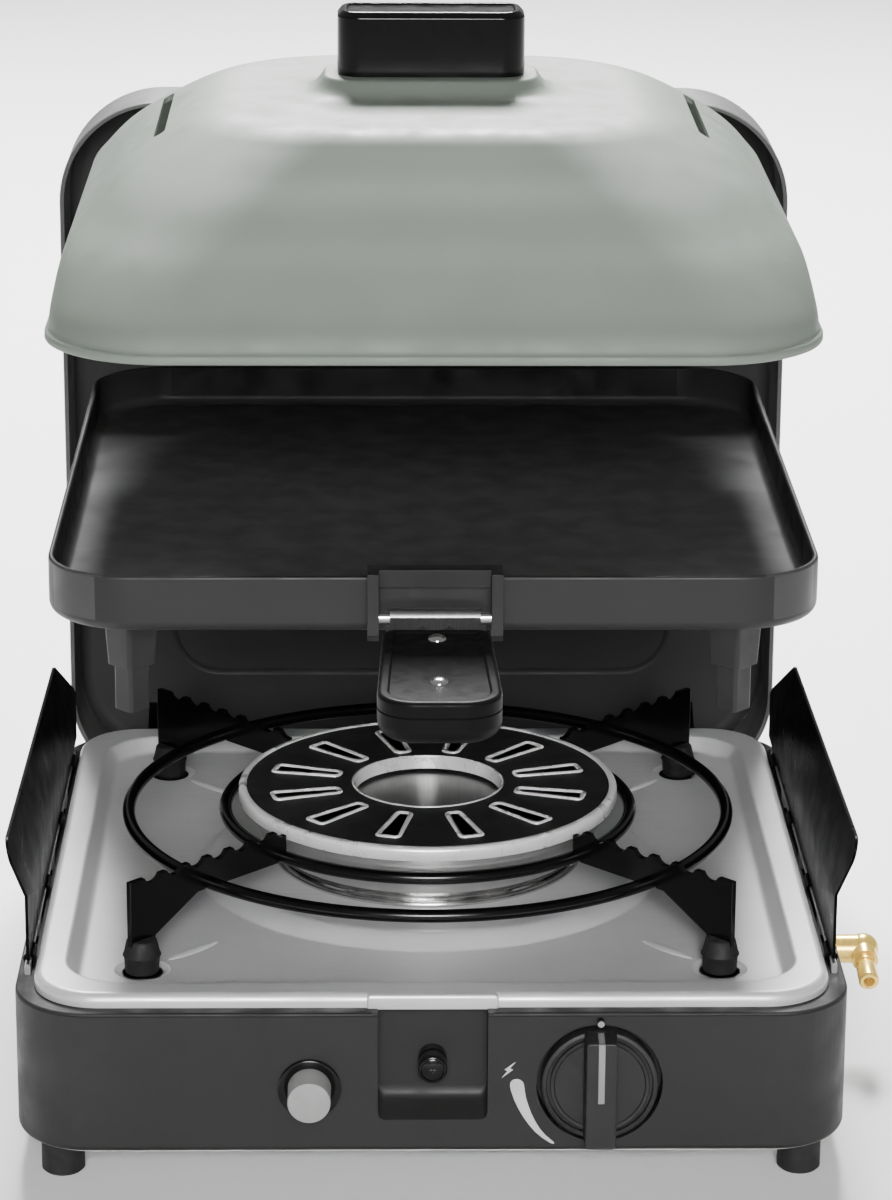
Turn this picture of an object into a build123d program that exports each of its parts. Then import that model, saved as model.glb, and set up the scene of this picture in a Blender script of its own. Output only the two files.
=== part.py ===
from build123d import *
import os
from math import cos, pi, radians, sin, sqrt, tan

os.makedirs("parts", exist_ok=True)

# Single burner gas stove with an upright rear cover, two wind shields, a grill pan and a domed lid.
# Millimetres. Z is up, the front is -Y, and the origin is on the floor under the middle of the body.
# The pan and the lid stand raised above the trivet, as they do before they are set down.

# Body
body_width = 320.0
body_depth = 318.6
body_corner = 30.0
body_bottom = 14.4
body_top = 71.9
body_wall = 2.5
body_edge = 3.0
body_top_edge = 1.0
ledge_width = 13.0
ledge_thick = 2.5
front_y = -body_depth / 2
rear_y = body_depth / 2
wall_fit = 0.05

# Bottom plate and feet
plate_thick = 1.2
plate_recess = 0.4
plate_inset = 5.4
plate_gap = 0.4
foot_radius = 8.3
foot_inset = 17.8
foot_spigot = 5.0
screw_radius = 1.5
screw_head_radius = 3.2
screw_head = 1.6
screw_spacing = 160.0

# Pressed steel top
steel_side = 7.2
steel_end = 5.7
steel_width = body_width - 2 * steel_side
steel_depth = body_depth - 2 * steel_end
steel_corner = 26.0
steel_sheet = 1.0
steel_rise = 5.4
steel_roll = 3.4
basin_side = 12.3
basin_end = 12.6
basin_width = steel_width - 2 * basin_side
basin_depth = steel_depth - 2 * basin_end
basin_corner = 24.0
basin_slope = 4.0
basin_drop = 6.9
platform_rise = 6.3
platform_slope = 4.5
dimple_radius = 9.6
dimple_depth = 0.8
bead_width = 5.0
bead_height = 1.2
bead_length = 26.0
steel_top_z = body_top + steel_rise
floor_z = steel_top_z - basin_drop
platform_z = floor_z + platform_rise

# Burner
throat_radius = 14.0
throat_gap = 0.3
bowl_waist_radius = 61.0
bowl_mouth_radius = 74.0
bowl_foot = 3.0
bowl_sheet = 1.2
bowl_flange = 1.5
bowl_height = 27.8
bowl_lip = 3.0
cap_overhang = 4.0
cap_radius = bowl_mouth_radius + cap_overhang
bowl_foot_radius = bowl_waist_radius + bowl_foot
cap_skirt = 1.6
cap_drop = 2.9
cap_web = 1.0
cap_disc = 1.2
cap_recess = 0.4
cap_hole_radius = 30.3
cap_hole_bead = 1.2
slot_count = 12
slot_inner_land = 7.7
slot_outer_land = 13.0
slot_inner = cap_hole_radius + slot_inner_land
slot_outer = cap_radius - slot_outer_land
slot_narrow = 5.0
slot_wide = 8.4
slot_round = 1.4
slot_lip = 0.8
slot_lip_rise = 0.5
spreader_overlap = 3.7
spreader_radius = cap_hole_radius + spreader_overlap
spreader_sheet = 1.2
spreader_drop = 8.0
spreader_leg = 8.0
burner_nut_flats = 36.0
burner_nut_height = 4.0
platform_land = 19.5
platform_radius = bowl_foot_radius + platform_land
bowl_z = platform_z + bowl_height
cap_top_z = bowl_z + cap_web + cap_disc + cap_recess

# Gas train
valve_x = 63.4
valve_z = 43.0
valve_width = 22.0
valve_length = 34.0
valve_height = 24.0
valve_nose_radius = 9.0
valve_nose = 10.0
pipe_radius = 3.0
pipe_bend = 10.0
pipe_setback = 37.3
pipe_y = front_y + pipe_setback
tube_z = 42.5
tube_wall = 1.4
tube_mouth_radius = 15.4
tube_setback = 71.3
tube_mouth_y = front_y + tube_setback
tube_neck_radius = 9.9
tube_bell = 18.0
tube_neck_y = tube_mouth_y + tube_bell
tube_flange_radius = 22.0
tube_flange = 1.6
injector_hex = 10.0
injector_length = 10.0
injector_gap = 4.0
injector_tip = 4.0
lead_radius = 1.1
lead_bend = 7.0
probe_radius = 1.6
probe_reach = 2.2
electrode_radius = 2.4

# Inlet on the right side
inlet_y = -25.0
inlet_z = 42.5
inlet_radius = 6.2
inlet_bore = 2.6
inlet_inside = 8.0
inlet_shoulder = 3.0
inlet_spigot_radius = 4.4
inlet_spigot = 9.0
locknut_flats = 18.0
locknut_thick = 4.0
elbow_radius = 6.5
elbow_reach = 19.5
elbow_nut_flats = 15.0
elbow_nut_length = 5.0
elbow_arm = 9.0
elbow_arm_radius = 5.3
nozzle_radius = 4.2
nozzle_neck_radius = 3.4
nozzle_bore = 2.2
nozzle_length = 24.0
nozzle_droop = 12.0
nozzle_groove = 1.6
nozzle_collar = 1.6
nozzle_taper = 0.8
swivel_gap = 0.05

# Knob and its well
well_radius = 24.1
well_depth = 9.0
well_wall = 2.0
knob_radius = 22.3
knob_disc = 6.0
knob_proud = 2.3
knob_dish_radius = 18.9
knob_groove = 1.1
knob_groove_depth = 1.2
knob_dish = 0.6
grip_width = 11.6
grip_length = 46.6
grip_height = 10.6
pointer_width = 2.6
pointer_length = 27.0
pointer_inlay = 0.6
spindle_radius = 3.2
spindle_gap = 0.08
spindle_length = 40.0
spindle_seat = 9.0
push_rod_radius = 1.6
push_rod_length = 14.0
push_rod_gap = 0.06
knob_travel = 3.0
hole_gap = 1.0

# Igniter
button_x = -46.8
button_z = 41.3
button_radius = 8.15
button_proud = 14.0
button_length = 25.0
button_travel = 5.0
button_gap = 0.1
collar_radius = 11.8
collar_flange = 1.6
collar_wall = 2.4
piezo_length = 24.0

# Front recess with the stud that holds the closed cover
recess_width = 41.8
recess_depth = 13.3
recess_bottom_z = 31.5
recess_wall = 2.0
recess_corner = 3.0
stud_z = 48.3
stud_radius = 5.3
stud_length = 12.9
stud_groove = 2.2
stud_groove_depth = 1.1
stud_groove_back = 4.0
stud_screw_radius = 2.0
stud_screw_head = 3.4
stud_screw_thick = 1.5

# Wind shields
shield_inset = 4.0
shield_x = body_width / 2 - shield_inset
shield_sheet = 1.2
shield_axis_rise = 3.1
shield_hem = 1.6
shield_bend = 31.1
shield_flare = 12.0
shield_rise = 59.1
shield_back_rise = 54.1
shield_tail_rise = 25.1
shield_setback = 41.3
shield_tip_setback = 21.3
shield_rear_inset = 17.3
shield_hinge_inset = 35.3
shield_back_inset = 66.3
shield_bend_z = body_top + shield_bend
shield_top_z = body_top + shield_rise
shield_back_z = body_top + shield_back_rise
shield_tail_z = body_top + shield_tail_rise
shield_front_y = front_y + shield_setback
shield_tip_y = front_y + shield_tip_setback
shield_rear_y = rear_y - shield_rear_inset
shield_hinge_y = rear_y - shield_hinge_inset
shield_back_y = rear_y - shield_back_inset
shield_round = 6.0
shield_rod_radius = 1.1
shield_rod_gap = 0.05
shield_knuckle_radius = 2.3
shield_knuckle = 12.0
shield_knuckles = 4
shield_hanger = 6.0
shield_foot_width = 4.4
shield_foot = 1.2
shield_slot_gap = 0.3

# Rear cover
cover_overhang = 0.4
cover_rim_gap = 18.7
cover_width = body_width + 2 * cover_overhang
cover_height = 319.0
cover_corner = 45.0
cover_rim_y = rear_y + cover_rim_gap
cover_depth = 45.0
cover_bottom_z = 38.4
cover_wall = 1.8
cover_edge = 8.0
field_side = 44.9
field_width = cover_width - 2 * field_side
field_bottom = 41.6
field_top = 41.4
field_bottom_z = cover_bottom_z + field_bottom
field_top_z = cover_bottom_z + cover_height - field_top
field_corner = 22.0
field_step = 2.0
hinge_inset = 7.3
hinge_side = 34.0
hinge_y = rear_y - hinge_inset
hinge_z = 46.0
hinge_x = body_width / 2 - hinge_side
hinge_pin_radius = 2.0
hinge_pin_gap = 0.05
hinge_eye_radius = 5.6
hinge_arm = 2.5
hinge_arm_gap = 0.5
hinge_bar_low = 6.8
hinge_bar = 4.6
hinge_notch = 10.0
hinge_ear = 2.0
hinge_ear_radius = 7.0
hinge_foot = 14.0
hinge_foot_height = 16.0
hinge_stop_gap = 0.2

# Catch that folds away inside the cover
catch_inset = 4.0
catch_y = cover_rim_y + catch_inset
catch_drop = 5.6
catch_width = 24.0
catch_reach = 34.0
catch_sheet = 1.2
catch_barrel = 2.2
catch_pin_radius = 1.2
catch_pin_gap = 0.05
catch_hole_gap = 0.5
catch_ear = 1.4
catch_base = 12.0

# Trivet
trivet_wire = 2.6
inner_ring_gap = 5.5
outer_ring_gap = 35.5
ring_z = 96.9
arm_sheet = 2.6
arm_top_z = 108.2
arm_low_z = 95.0
arm_start = 1.5
arm_knee_gap = 28.8
arm_leg = 12.4
leg_margin = 24.21
arm_leg_top_z = 83.4
tooth_margin = 0.3
tooth_pitch = 11.7
tooth_radius = 4.6
tooth_depth = 2.6
notch_gap = 0.02
cap_foot_radius = 7.1
cap_foot_fit = 0.05
leg_xy = basin_width / 2 - basin_slope - leg_margin
leg_centre = leg_xy * sqrt(2)
arm_tip = leg_centre + arm_leg / 2
arm_knee = leg_centre - arm_knee_gap
outer_ring_radius = leg_centre - outer_ring_gap
inner_ring_radius = cap_radius + inner_ring_gap
arm_inner = inner_ring_radius - arm_start
tooth_start = inner_ring_radius - tooth_margin
tooth_count = round((arm_tip - tooth_start) / tooth_pitch)

# Grill pan
pan_side = 16.7
pan_end = 1.5
pan_width = body_width - 2 * pan_side
pan_depth = body_depth - 2 * pan_end
pan_middle_y = -1.5
pan_corner = 32.0
pan_bottom_z = 223.0
pan_rim_z = 244.4
pan_wall = 2.2
pan_floor = 4.6
pan_edge = 4.0
pan_foot_side = 30.3
pan_foot_end = 29.2
pan_foot_x = pan_width / 2 - pan_foot_side
pan_foot_y = pan_depth / 2 - pan_foot_end
pan_foot_drop = 39.6
pan_block = 15.6
pan_block_low = 13.4
pan_block_drop = 22.0
pan_post = 9.9
pan_front_y = pan_middle_y - pan_depth / 2

# Pan handle
bracket_width = 49.4
bracket_opening = 41.0
bracket_rise = 3.4
bracket_drop = 1.4
bracket_reach = 9.0
bracket_bar = 6.6
bracket_bar_reach = 3.2
bracket_lip = 1.4
bracket_lip_drop = 6.0
bracket_gap = 0.1
pivot_reach = 5.9
pivot_drop = 13.8
pivot_radius = 2.0
pivot_gap = 0.06
barrel_radius = 3.6
barrel_width = 33.0
tang_width = 36.0
tang_sheet = 2.0
tang_inside = 66.0
tang_bump_radius = 7.0
tang_bump = 1.6
grip_start = 33.8
grip_run = 82.0
grip_back_width = 38.4
grip_front_width = 43.6
grip_upper = 5.8
grip_lower = 10.2
grip_back_round = 5.0
grip_front_round = 14.0
grip_edge = 1.8
grip_belly = 6.0
grip_dish = 0.8
grip_dish_inset = 4.0
rivet_radius = 3.4
rivet_shaft = 1.6
rivet_rise = 1.8
rivet_places = (43.8, 91.5)
pivot_y = pan_front_y - pivot_reach
pivot_z = pan_rim_z - pivot_drop
tang_top_z = pivot_z + tang_sheet / 2

# Domed lid
lid_side = 0.4
lid_end = 0.9
lid_width = pan_width + 2 * lid_side
lid_depth = pan_depth + 2 * lid_end
lid_rim_z = 323.6
lid_corner = 46.0
lid_wall = 2.0
# height above the rim, inset in X, inset in Y, corner radius
lid_levels = (
    (4.0, 1.4, 1.6, 46.0),
    (12.0, 2.2, 6.0, 47.0),
    (27.0, 5.8, 21.5, 52.0),
    (38.0, 13.2, 34.0, 56.0),
    (48.0, 21.6, 45.2, 58.0),
    (57.0, 32.6, 56.2, 58.0),
    (64.0, 44.6, 65.0, 56.0),
    (69.0, 57.0, 72.6, 50.0),
    (71.4, 70.0, 81.0, 42.0),
)
lid_slot_side = 39.4
lid_slot_x = lid_width / 2 - lid_slot_side
lid_slot_length = 84.0
lid_slot_width = 4.4
lid_slot_low = 16.0
boss_width = 82.0
boss_depth = 44.0
boss_height = 7.2
boss_flare = 12.0
boss_corner = 15.0
lid_grip_width = 73.0
lid_grip_depth = 30.0
lid_grip_height = 25.0
lid_grip_corner = 9.0
lid_grip_edge = 2.2
lid_grip_dish = 1.0
lid_grip_dish_inset = 4.0
lid_screw_x = 20.0
lid_screw_radius = 2.4
lid_screw_head = 4.2
lid_screw_thick = 2.0
lid_screw_grip = 10.0
lid_height = lid_levels[-1][0]
lid_top_z = lid_rim_z + lid_height


standing = (Align.CENTER, Align.MIN)
hanging = (Align.CENTER, Align.MAX)


def save(piece, label):
    piece.label = label
    export_step(piece, f"parts/{label}.step")


def four(x, y):
    return [(sx * x, sy * y) for sx in (-1, 1) for sy in (-1, 1)]


def outline(width, depth, corner, z, middle_y=0.0):
    with BuildSketch(Plane.XY.offset(z)) as shape:
        with Locations((0, middle_y)):
            RectangleRounded(width, depth, corner)
    return shape.sketch


def rounded(width, height, corner, inset):
    """Rounded rectangle drawn in by inset all round."""
    RectangleRounded(width - 2 * inset, height - 2 * inset, corner - inset)


def across(y):
    """Upright plane at y, facing the front, with X to the right and Z up."""
    return Plane.XZ.offset(-y)


def round_top(piece):
    return piece.faces().sort_by(Axis.Z)[-1].edges()


def round_bottom(piece):
    return piece.faces().sort_by(Axis.Z)[0].edges()


# Body housing: a moulded tub with an inward ledge above and below
rebate_depth = plate_recess + plate_thick
cavity_low_z = body_bottom + rebate_depth + ledge_thick
cavity_top_z = body_top - ledge_thick
ledge_middle = (plate_inset + ledge_width) / 2
plate_screws = four(body_width / 2 - ledge_middle, screw_spacing / 2)
plate_screws += [(0, rear_y - ledge_middle), (-screw_spacing / 2, front_y + ledge_middle)]
plate_screws += [(screw_spacing * 0.65, front_y + ledge_middle)]
slot_y = (shield_front_y + shield_hinge_y) / 2
slot_length = shield_hinge_y - shield_front_y + shield_hanger + 2 * shield_slot_gap
slot_width = 2 * shield_rod_radius + 2 * shield_slot_gap
collar_tube_radius = button_radius + button_gap + collar_wall
recess_height = body_top - recess_bottom_z
arm_slot = hinge_arm + 2 * hinge_arm_gap
arm_slot_z = hinge_z - hinge_bar_low - hinge_stop_gap
with BuildPart() as base_housing:
    with BuildSketch(Plane.XY.offset(body_bottom)):
        RectangleRounded(body_width, body_depth, body_corner)
    extrude(amount=body_top - body_bottom)
    fillet(round_bottom(base_housing), body_edge)
    fillet(round_top(base_housing), body_top_edge)
    with BuildSketch(Plane.XY.offset(body_bottom)):
        rounded(body_width, body_depth, body_corner, plate_inset)
    extrude(amount=rebate_depth, mode=Mode.SUBTRACT)
    with BuildSketch(Plane.XY.offset(body_bottom)):
        rounded(body_width, body_depth, body_corner, ledge_width)
    extrude(amount=body_top - body_bottom, mode=Mode.SUBTRACT)
    with BuildSketch(Plane.XY.offset(cavity_low_z)):
        rounded(body_width, body_depth, body_corner, body_wall)
    extrude(amount=cavity_top_z - cavity_low_z, mode=Mode.SUBTRACT)
    # knob well
    with BuildSketch(across(front_y)):
        with Locations((valve_x, valve_z)):
            Circle(well_radius + well_wall)
    extrude(amount=-(well_depth + well_wall))
    with BuildSketch(across(front_y)):
        with Locations((valve_x, valve_z)):
            Circle(well_radius)
    extrude(amount=-well_depth, mode=Mode.SUBTRACT)
    with BuildSketch(across(front_y)):
        with Locations((valve_x, valve_z)):
            Circle(spindle_radius + hole_gap)
    extrude(amount=-(well_depth + 2 * well_wall), mode=Mode.SUBTRACT)
    # igniter hole
    with BuildSketch(across(front_y)):
        with Locations((button_x, button_z)):
            Circle(collar_tube_radius + wall_fit)
    extrude(amount=-2 * body_wall, mode=Mode.SUBTRACT)
    # front recess, open at its top
    with BuildSketch(across(front_y)):
        with Locations((0, recess_bottom_z - recess_wall)):
            Rectangle(recess_width + 2 * recess_wall, recess_height + recess_wall, align=standing)
    extrude(amount=-(recess_depth + recess_wall))
    with BuildSketch(across(front_y)):
        with Locations((0, recess_bottom_z)):
            RectangleRounded(recess_width, recess_height + 2 * recess_corner, recess_corner, align=standing)
    extrude(amount=-recess_depth, mode=Mode.SUBTRACT)
    with BuildSketch(across(front_y)):
        with Locations((0, stud_z)):
            Circle(stud_screw_radius + wall_fit)
    extrude(amount=-(recess_depth + 2 * recess_wall), mode=Mode.SUBTRACT)
    # inlet hole
    with BuildSketch(Plane.YZ.offset(body_width / 2)):
        with Locations((inlet_y, inlet_z)):
            Circle(inlet_radius + wall_fit)
    extrude(amount=-2 * body_wall, mode=Mode.SUBTRACT)
    # slots that the cover's hinge arms swing through
    with BuildSketch(Plane.XY.offset(arm_slot_z)):
        with Locations((-hinge_x, rear_y), (hinge_x, rear_y)):
            Rectangle(arm_slot, 2 * (rear_y - hinge_y + hinge_eye_radius + 2))
    extrude(amount=body_top - arm_slot_z, mode=Mode.SUBTRACT)
    # slots that the wind shields' hangers stand in
    with BuildSketch(Plane.XY.offset(cavity_top_z)):
        with Locations((-shield_x, slot_y), (shield_x, slot_y)):
            Rectangle(slot_width, slot_length)
    extrude(amount=ledge_thick, mode=Mode.SUBTRACT)
    # screw holes in the lower ledge
    with BuildSketch(Plane.XY.offset(body_bottom)):
        with Locations(plate_screws):
            Circle(screw_radius + wall_fit)
    extrude(amount=rebate_depth + ledge_thick, mode=Mode.SUBTRACT)
save(base_housing.part, "base_housing")

# Bottom plate with cooling louvres
plate_low_z = body_bottom + plate_recess
plate_edge = plate_inset + plate_gap
with BuildPart() as bottom_plate:
    with BuildSketch(Plane.XY.offset(plate_low_z)):
        rounded(body_width, body_depth, body_corner, plate_edge)
        with GridLocations(0, 16, 1, 6):
            SlotOverall(90, 5, mode=Mode.SUBTRACT)
        with Locations(plate_screws):
            Circle(screw_radius + wall_fit, mode=Mode.SUBTRACT)
    extrude(amount=plate_thick)
save(bottom_plate.part, "bottom_plate")

# Screws that hold the bottom plate
with BuildPart() as base_screws:
    with BuildSketch(Plane.XY.offset(plate_low_z - screw_head)):
        with Locations(plate_screws):
            Circle(screw_head_radius)
    extrude(amount=screw_head)
    chamfer(base_screws.edges().group_by(Axis.Z)[0], screw_head / 3)
    with BuildSketch(Plane.XY.offset(plate_low_z)):
        with Locations(plate_screws):
            Circle(screw_radius)
    extrude(amount=plate_thick + ledge_thick)
save(base_screws.part, "base_screws")

# Four rubber feet, each with a spigot against the bottom plate
foot_x = body_width / 2 - foot_inset
foot_y = body_depth / 2 - foot_inset
with BuildPart() as rubber_feet:
    with BuildSketch(Plane.XY):
        with Locations(four(foot_x, foot_y)):
            Circle(foot_radius)
    extrude(amount=body_bottom)
    chamfer(rubber_feet.edges().group_by(Axis.Z)[0], foot_radius / 8)
    with BuildSketch(Plane.XY.offset(body_bottom)):
        with Locations(four(foot_x, foot_y)):
            Circle(foot_spigot)
    extrude(amount=plate_recess)
save(rubber_feet.part, "rubber_feet")

# Hollow under the rolled rim of the steel top
with BuildPart() as rim_hollow:
    with BuildSketch(Plane.XY.offset(body_top)):
        rounded(steel_width, steel_depth, steel_corner, steel_sheet)
    extrude(amount=steel_rise - steel_sheet)
    fillet(round_top(rim_hollow), steel_roll - steel_sheet)

# The electrode and the thermocouple rise through the platform under two of the slots
half_slot = pi / slot_count
electrode_at = (button_x, button_x * tan(half_slot))
probe_at = (-button_x, button_x * tan(half_slot))

# Pressed steel top: rolled rim, sunk floor, burner platform, dimples and beads for the trivet
floor_under_z = floor_z - steel_sheet
grow = 2 * steel_sheet
with BuildPart() as steel_top:
    with BuildSketch(Plane.XY.offset(body_top)):
        RectangleRounded(steel_width, steel_depth, steel_corner)
    extrude(amount=steel_rise)
    fillet(round_top(steel_top), steel_roll)
    add(rim_hollow.part, mode=Mode.SUBTRACT)
    low = 2 * basin_slope
    loft(
        [
            outline(basin_width - low + grow, basin_depth - low + grow, basin_corner, floor_under_z),
            outline(basin_width + grow, basin_depth + grow, basin_corner + steel_sheet, steel_top_z),
        ]
    )
    loft(
        [
            outline(basin_width - low, basin_depth - low, basin_corner - steel_sheet, floor_z),
            outline(basin_width, basin_depth, basin_corner, steel_top_z),
        ],
        mode=Mode.SUBTRACT,
    )
    # raised platform under the burner, hollow below
    with BuildSketch(Plane.XY.offset(floor_z)):
        Circle(platform_radius + platform_slope)
    with BuildSketch(Plane.XY.offset(platform_z)):
        Circle(platform_radius)
    loft()
    with BuildSketch(Plane.XY.offset(floor_under_z)):
        Circle(platform_radius + platform_slope - steel_sheet)
    with BuildSketch(Plane.XY.offset(platform_z - steel_sheet)):
        Circle(platform_radius - steel_sheet)
    loft(mode=Mode.SUBTRACT)
    with BuildSketch(Plane.XY.offset(platform_z - steel_sheet)):
        Circle(throat_radius + throat_gap)
        with Locations(electrode_at, probe_at):
            Circle(electrode_radius + wall_fit)
    extrude(amount=steel_sheet, mode=Mode.SUBTRACT)
    # dimples that hold the trivet's feet
    with BuildSketch(Plane.XY.offset(floor_under_z - dimple_depth)):
        with Locations(four(leg_xy, leg_xy)):
            Circle(dimple_radius + steel_sheet)
    extrude(amount=dimple_depth)
    with BuildSketch(Plane.XY.offset(floor_z - dimple_depth)):
        with Locations(four(leg_xy, leg_xy)):
            Circle(dimple_radius)
    extrude(amount=dimple_depth, mode=Mode.SUBTRACT)
    # beads from each dimple towards the burner
    bead_middle = leg_centre - dimple_radius - 4 - bead_length / 2
    with BuildSketch(Plane.XY.offset(floor_z)):
        with PolarLocations(bead_middle, 4, start_angle=45):
            SlotOverall(bead_length, bead_width)
    extrude(amount=bead_height, taper=35)
save(steel_top.part, "steel_top")

# Mixing tube: bell mouth and neck along Y, elbow, then the throat that rises into the bowl
bell = Plane(origin=(0, 0, tube_z), x_dir=(0, -1, 0), z_dir=(1, 0, 0))
tube_top_z = platform_z + bowl_sheet + burner_nut_height


def mixing_form(wall):
    radius = throat_radius - wall
    neck = tube_neck_radius - wall
    mouth = tube_mouth_radius - wall
    with BuildPart() as form:
        with BuildSketch(bell):
            with BuildLine():
                Polyline((0, 0), (0, radius), (-tube_neck_y * 0.35, radius), (-tube_neck_y, neck))
                Polyline((-tube_neck_y, neck), (-tube_mouth_y, mouth), (-tube_mouth_y, 0), (0, 0))
            make_face()
        revolve(axis=Axis((0, 0, tube_z), (0, -1, 0)))
        with Locations((0, 0, tube_z)):
            Sphere(radius)
            Cylinder(radius, tube_top_z - tube_z, align=(Align.CENTER, Align.CENTER, Align.MIN))
    return form.part


with BuildPart() as mixing_tube:
    add(mixing_form(0))
    with BuildSketch(Plane.XY.offset(platform_z - steel_sheet - tube_flange)):
        Circle(tube_flange_radius)
    extrude(amount=tube_flange)
    add(mixing_form(tube_wall), mode=Mode.SUBTRACT)
save(mixing_tube.part, "mixing_tube")

# Burner bowl: spun sheet with a flanged foot
bowl_belly = (bowl_mouth_radius - bowl_waist_radius) * 0.508
bowl_belly_rise = bowl_height * 0.324
with BuildPart() as burner_bowl:
    inner_x = throat_radius + throat_gap
    flange_top = platform_z + bowl_flange
    with BuildSketch(Plane.XZ):
        with BuildLine():
            Polyline(
                (inner_x, platform_z),
                (bowl_foot_radius, platform_z),
                (bowl_foot_radius, flange_top),
                (bowl_waist_radius, flange_top + 1),
            )
            ThreePointArc(
                (bowl_waist_radius, flange_top + 1),
                (bowl_waist_radius + bowl_belly, platform_z + bowl_belly_rise),
                (bowl_mouth_radius, bowl_z - bowl_lip),
            )
            Polyline(
                (bowl_mouth_radius, bowl_z - bowl_lip),
                (bowl_mouth_radius, bowl_z),
                (bowl_mouth_radius - bowl_sheet, bowl_z),
                (bowl_mouth_radius - bowl_sheet, bowl_z - bowl_lip),
            )
            ThreePointArc(
                (bowl_mouth_radius - bowl_sheet, bowl_z - bowl_lip),
                (bowl_waist_radius + bowl_belly - bowl_sheet, platform_z + bowl_belly_rise + bowl_sheet / 2),
                (bowl_waist_radius - 2.6, platform_z + bowl_sheet),
            )
            Polyline(
                (bowl_waist_radius - 2.6, platform_z + bowl_sheet),
                (inner_x, platform_z + bowl_sheet),
                (inner_x, platform_z),
            )
        make_face()
    revolve(axis=Axis.Z)
    with BuildSketch(Plane.XY.offset(platform_z)):
        with Locations(electrode_at, probe_at):
            Circle(electrode_radius + wall_fit)
    extrude(amount=bowl_sheet, mode=Mode.SUBTRACT)
save(burner_bowl.part, "burner_bowl")

# Nut that clamps the bowl and the platform to the mixing tube
with BuildPart() as burner_nut:
    with BuildSketch(Plane.XY.offset(platform_z + bowl_sheet)):
        RegularPolygon(burner_nut_flats / 2, 6, major_radius=False)
        Circle(throat_radius + wall_fit, mode=Mode.SUBTRACT)
    extrude(amount=burner_nut_height)
save(burner_nut.part, "burner_nut")

# Flame spreader: a dished disc on three legs inside the bowl
spreader_z = cap_top_z - spreader_drop
with BuildPart() as flame_spreader:
    with BuildSketch(Plane.XY.offset(spreader_z)):
        Circle(spreader_radius)
    extrude(amount=spreader_sheet)
    with BuildSketch(Plane.XY.offset(platform_z + bowl_sheet)):
        with PolarLocations(spreader_radius - spreader_sheet, 3, start_angle=90):
            Rectangle(spreader_sheet, spreader_leg)
    extrude(until=Until.NEXT)
save(flame_spreader.part, "flame_spreader")

# Burner trim ring: polished rolled rim over the bowl's mouth, with a web under the disc
with BuildPart() as burner_trim_ring:
    web_low = bowl_z
    web_top = bowl_z + cap_web
    skirt_in = cap_radius - cap_skirt
    seat_in = cap_radius - 2 * cap_skirt
    web_in = bowl_mouth_radius - 2 * bowl_sheet - 1
    with BuildSketch(Plane.XZ):
        with BuildLine():
            Polyline((web_in, web_low), (web_in, web_top), (seat_in, web_top), (seat_in, cap_top_z))
            Line((seat_in, cap_top_z), (skirt_in, cap_top_z))
            TangentArc((skirt_in, cap_top_z), (cap_radius, cap_top_z - cap_skirt), tangent=(1, 0))
            Polyline(
                (cap_radius, cap_top_z - cap_skirt),
                (cap_radius, web_low - cap_drop),
                (skirt_in, web_low - cap_drop),
                (skirt_in, web_low),
                (web_in, web_low),
            )
        make_face()
    revolve(axis=Axis.Z)
save(burner_trim_ring.part, "burner_trim_ring")


def flame_slots(grow_by):
    """Twelve tapered slots with round corners, grown outwards all round."""
    with BuildSketch(Plane.XY.offset(bowl_z + cap_web)) as slots:
        with PolarLocations(0, slot_count, start_angle=180 / slot_count):
            Polygon(
                (slot_inner - grow_by, -slot_narrow / 2 - grow_by),
                (slot_outer + grow_by, -slot_wide / 2 - grow_by),
                (slot_outer + grow_by, slot_wide / 2 + grow_by),
                (slot_inner - grow_by, slot_narrow / 2 + grow_by),
                align=None,
            )
        fillet(slots.vertices(), slot_round + grow_by)
    return slots.sketch


# Slotted burner disc, with a bead round its centre hole
with BuildPart() as burner_disc:
    with BuildSketch(Plane.XY.offset(bowl_z + cap_web)):
        Circle(cap_radius - 2 * cap_skirt - wall_fit)
        Circle(cap_hole_radius, mode=Mode.SUBTRACT)
        add(flame_slots(0), mode=Mode.SUBTRACT)
    extrude(amount=cap_disc)
    with BuildSketch(Plane.XY.offset(bowl_z + cap_web + cap_disc)):
        Circle(cap_hole_radius + 2 * cap_hole_bead)
        Circle(cap_hole_radius, mode=Mode.SUBTRACT)
    extrude(amount=cap_recess, taper=30)
save(burner_disc.part, "burner_disc")

# Bright rims that line the flame slots and turn out over the disc
with BuildPart() as flame_slot_rims:
    with BuildSketch(Plane.XY.offset(bowl_z + cap_web)):
        add(flame_slots(0))
        add(flame_slots(-slot_lip), mode=Mode.SUBTRACT)
    extrude(amount=cap_disc + slot_lip_rise)
    with BuildSketch(Plane.XY.offset(bowl_z + cap_web + cap_disc)):
        add(flame_slots(slot_lip))
        add(flame_slots(-slot_lip), mode=Mode.SUBTRACT)
    extrude(amount=slot_lip_rise)
save(flame_slot_rims.part, "flame_slot_rims")

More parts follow.
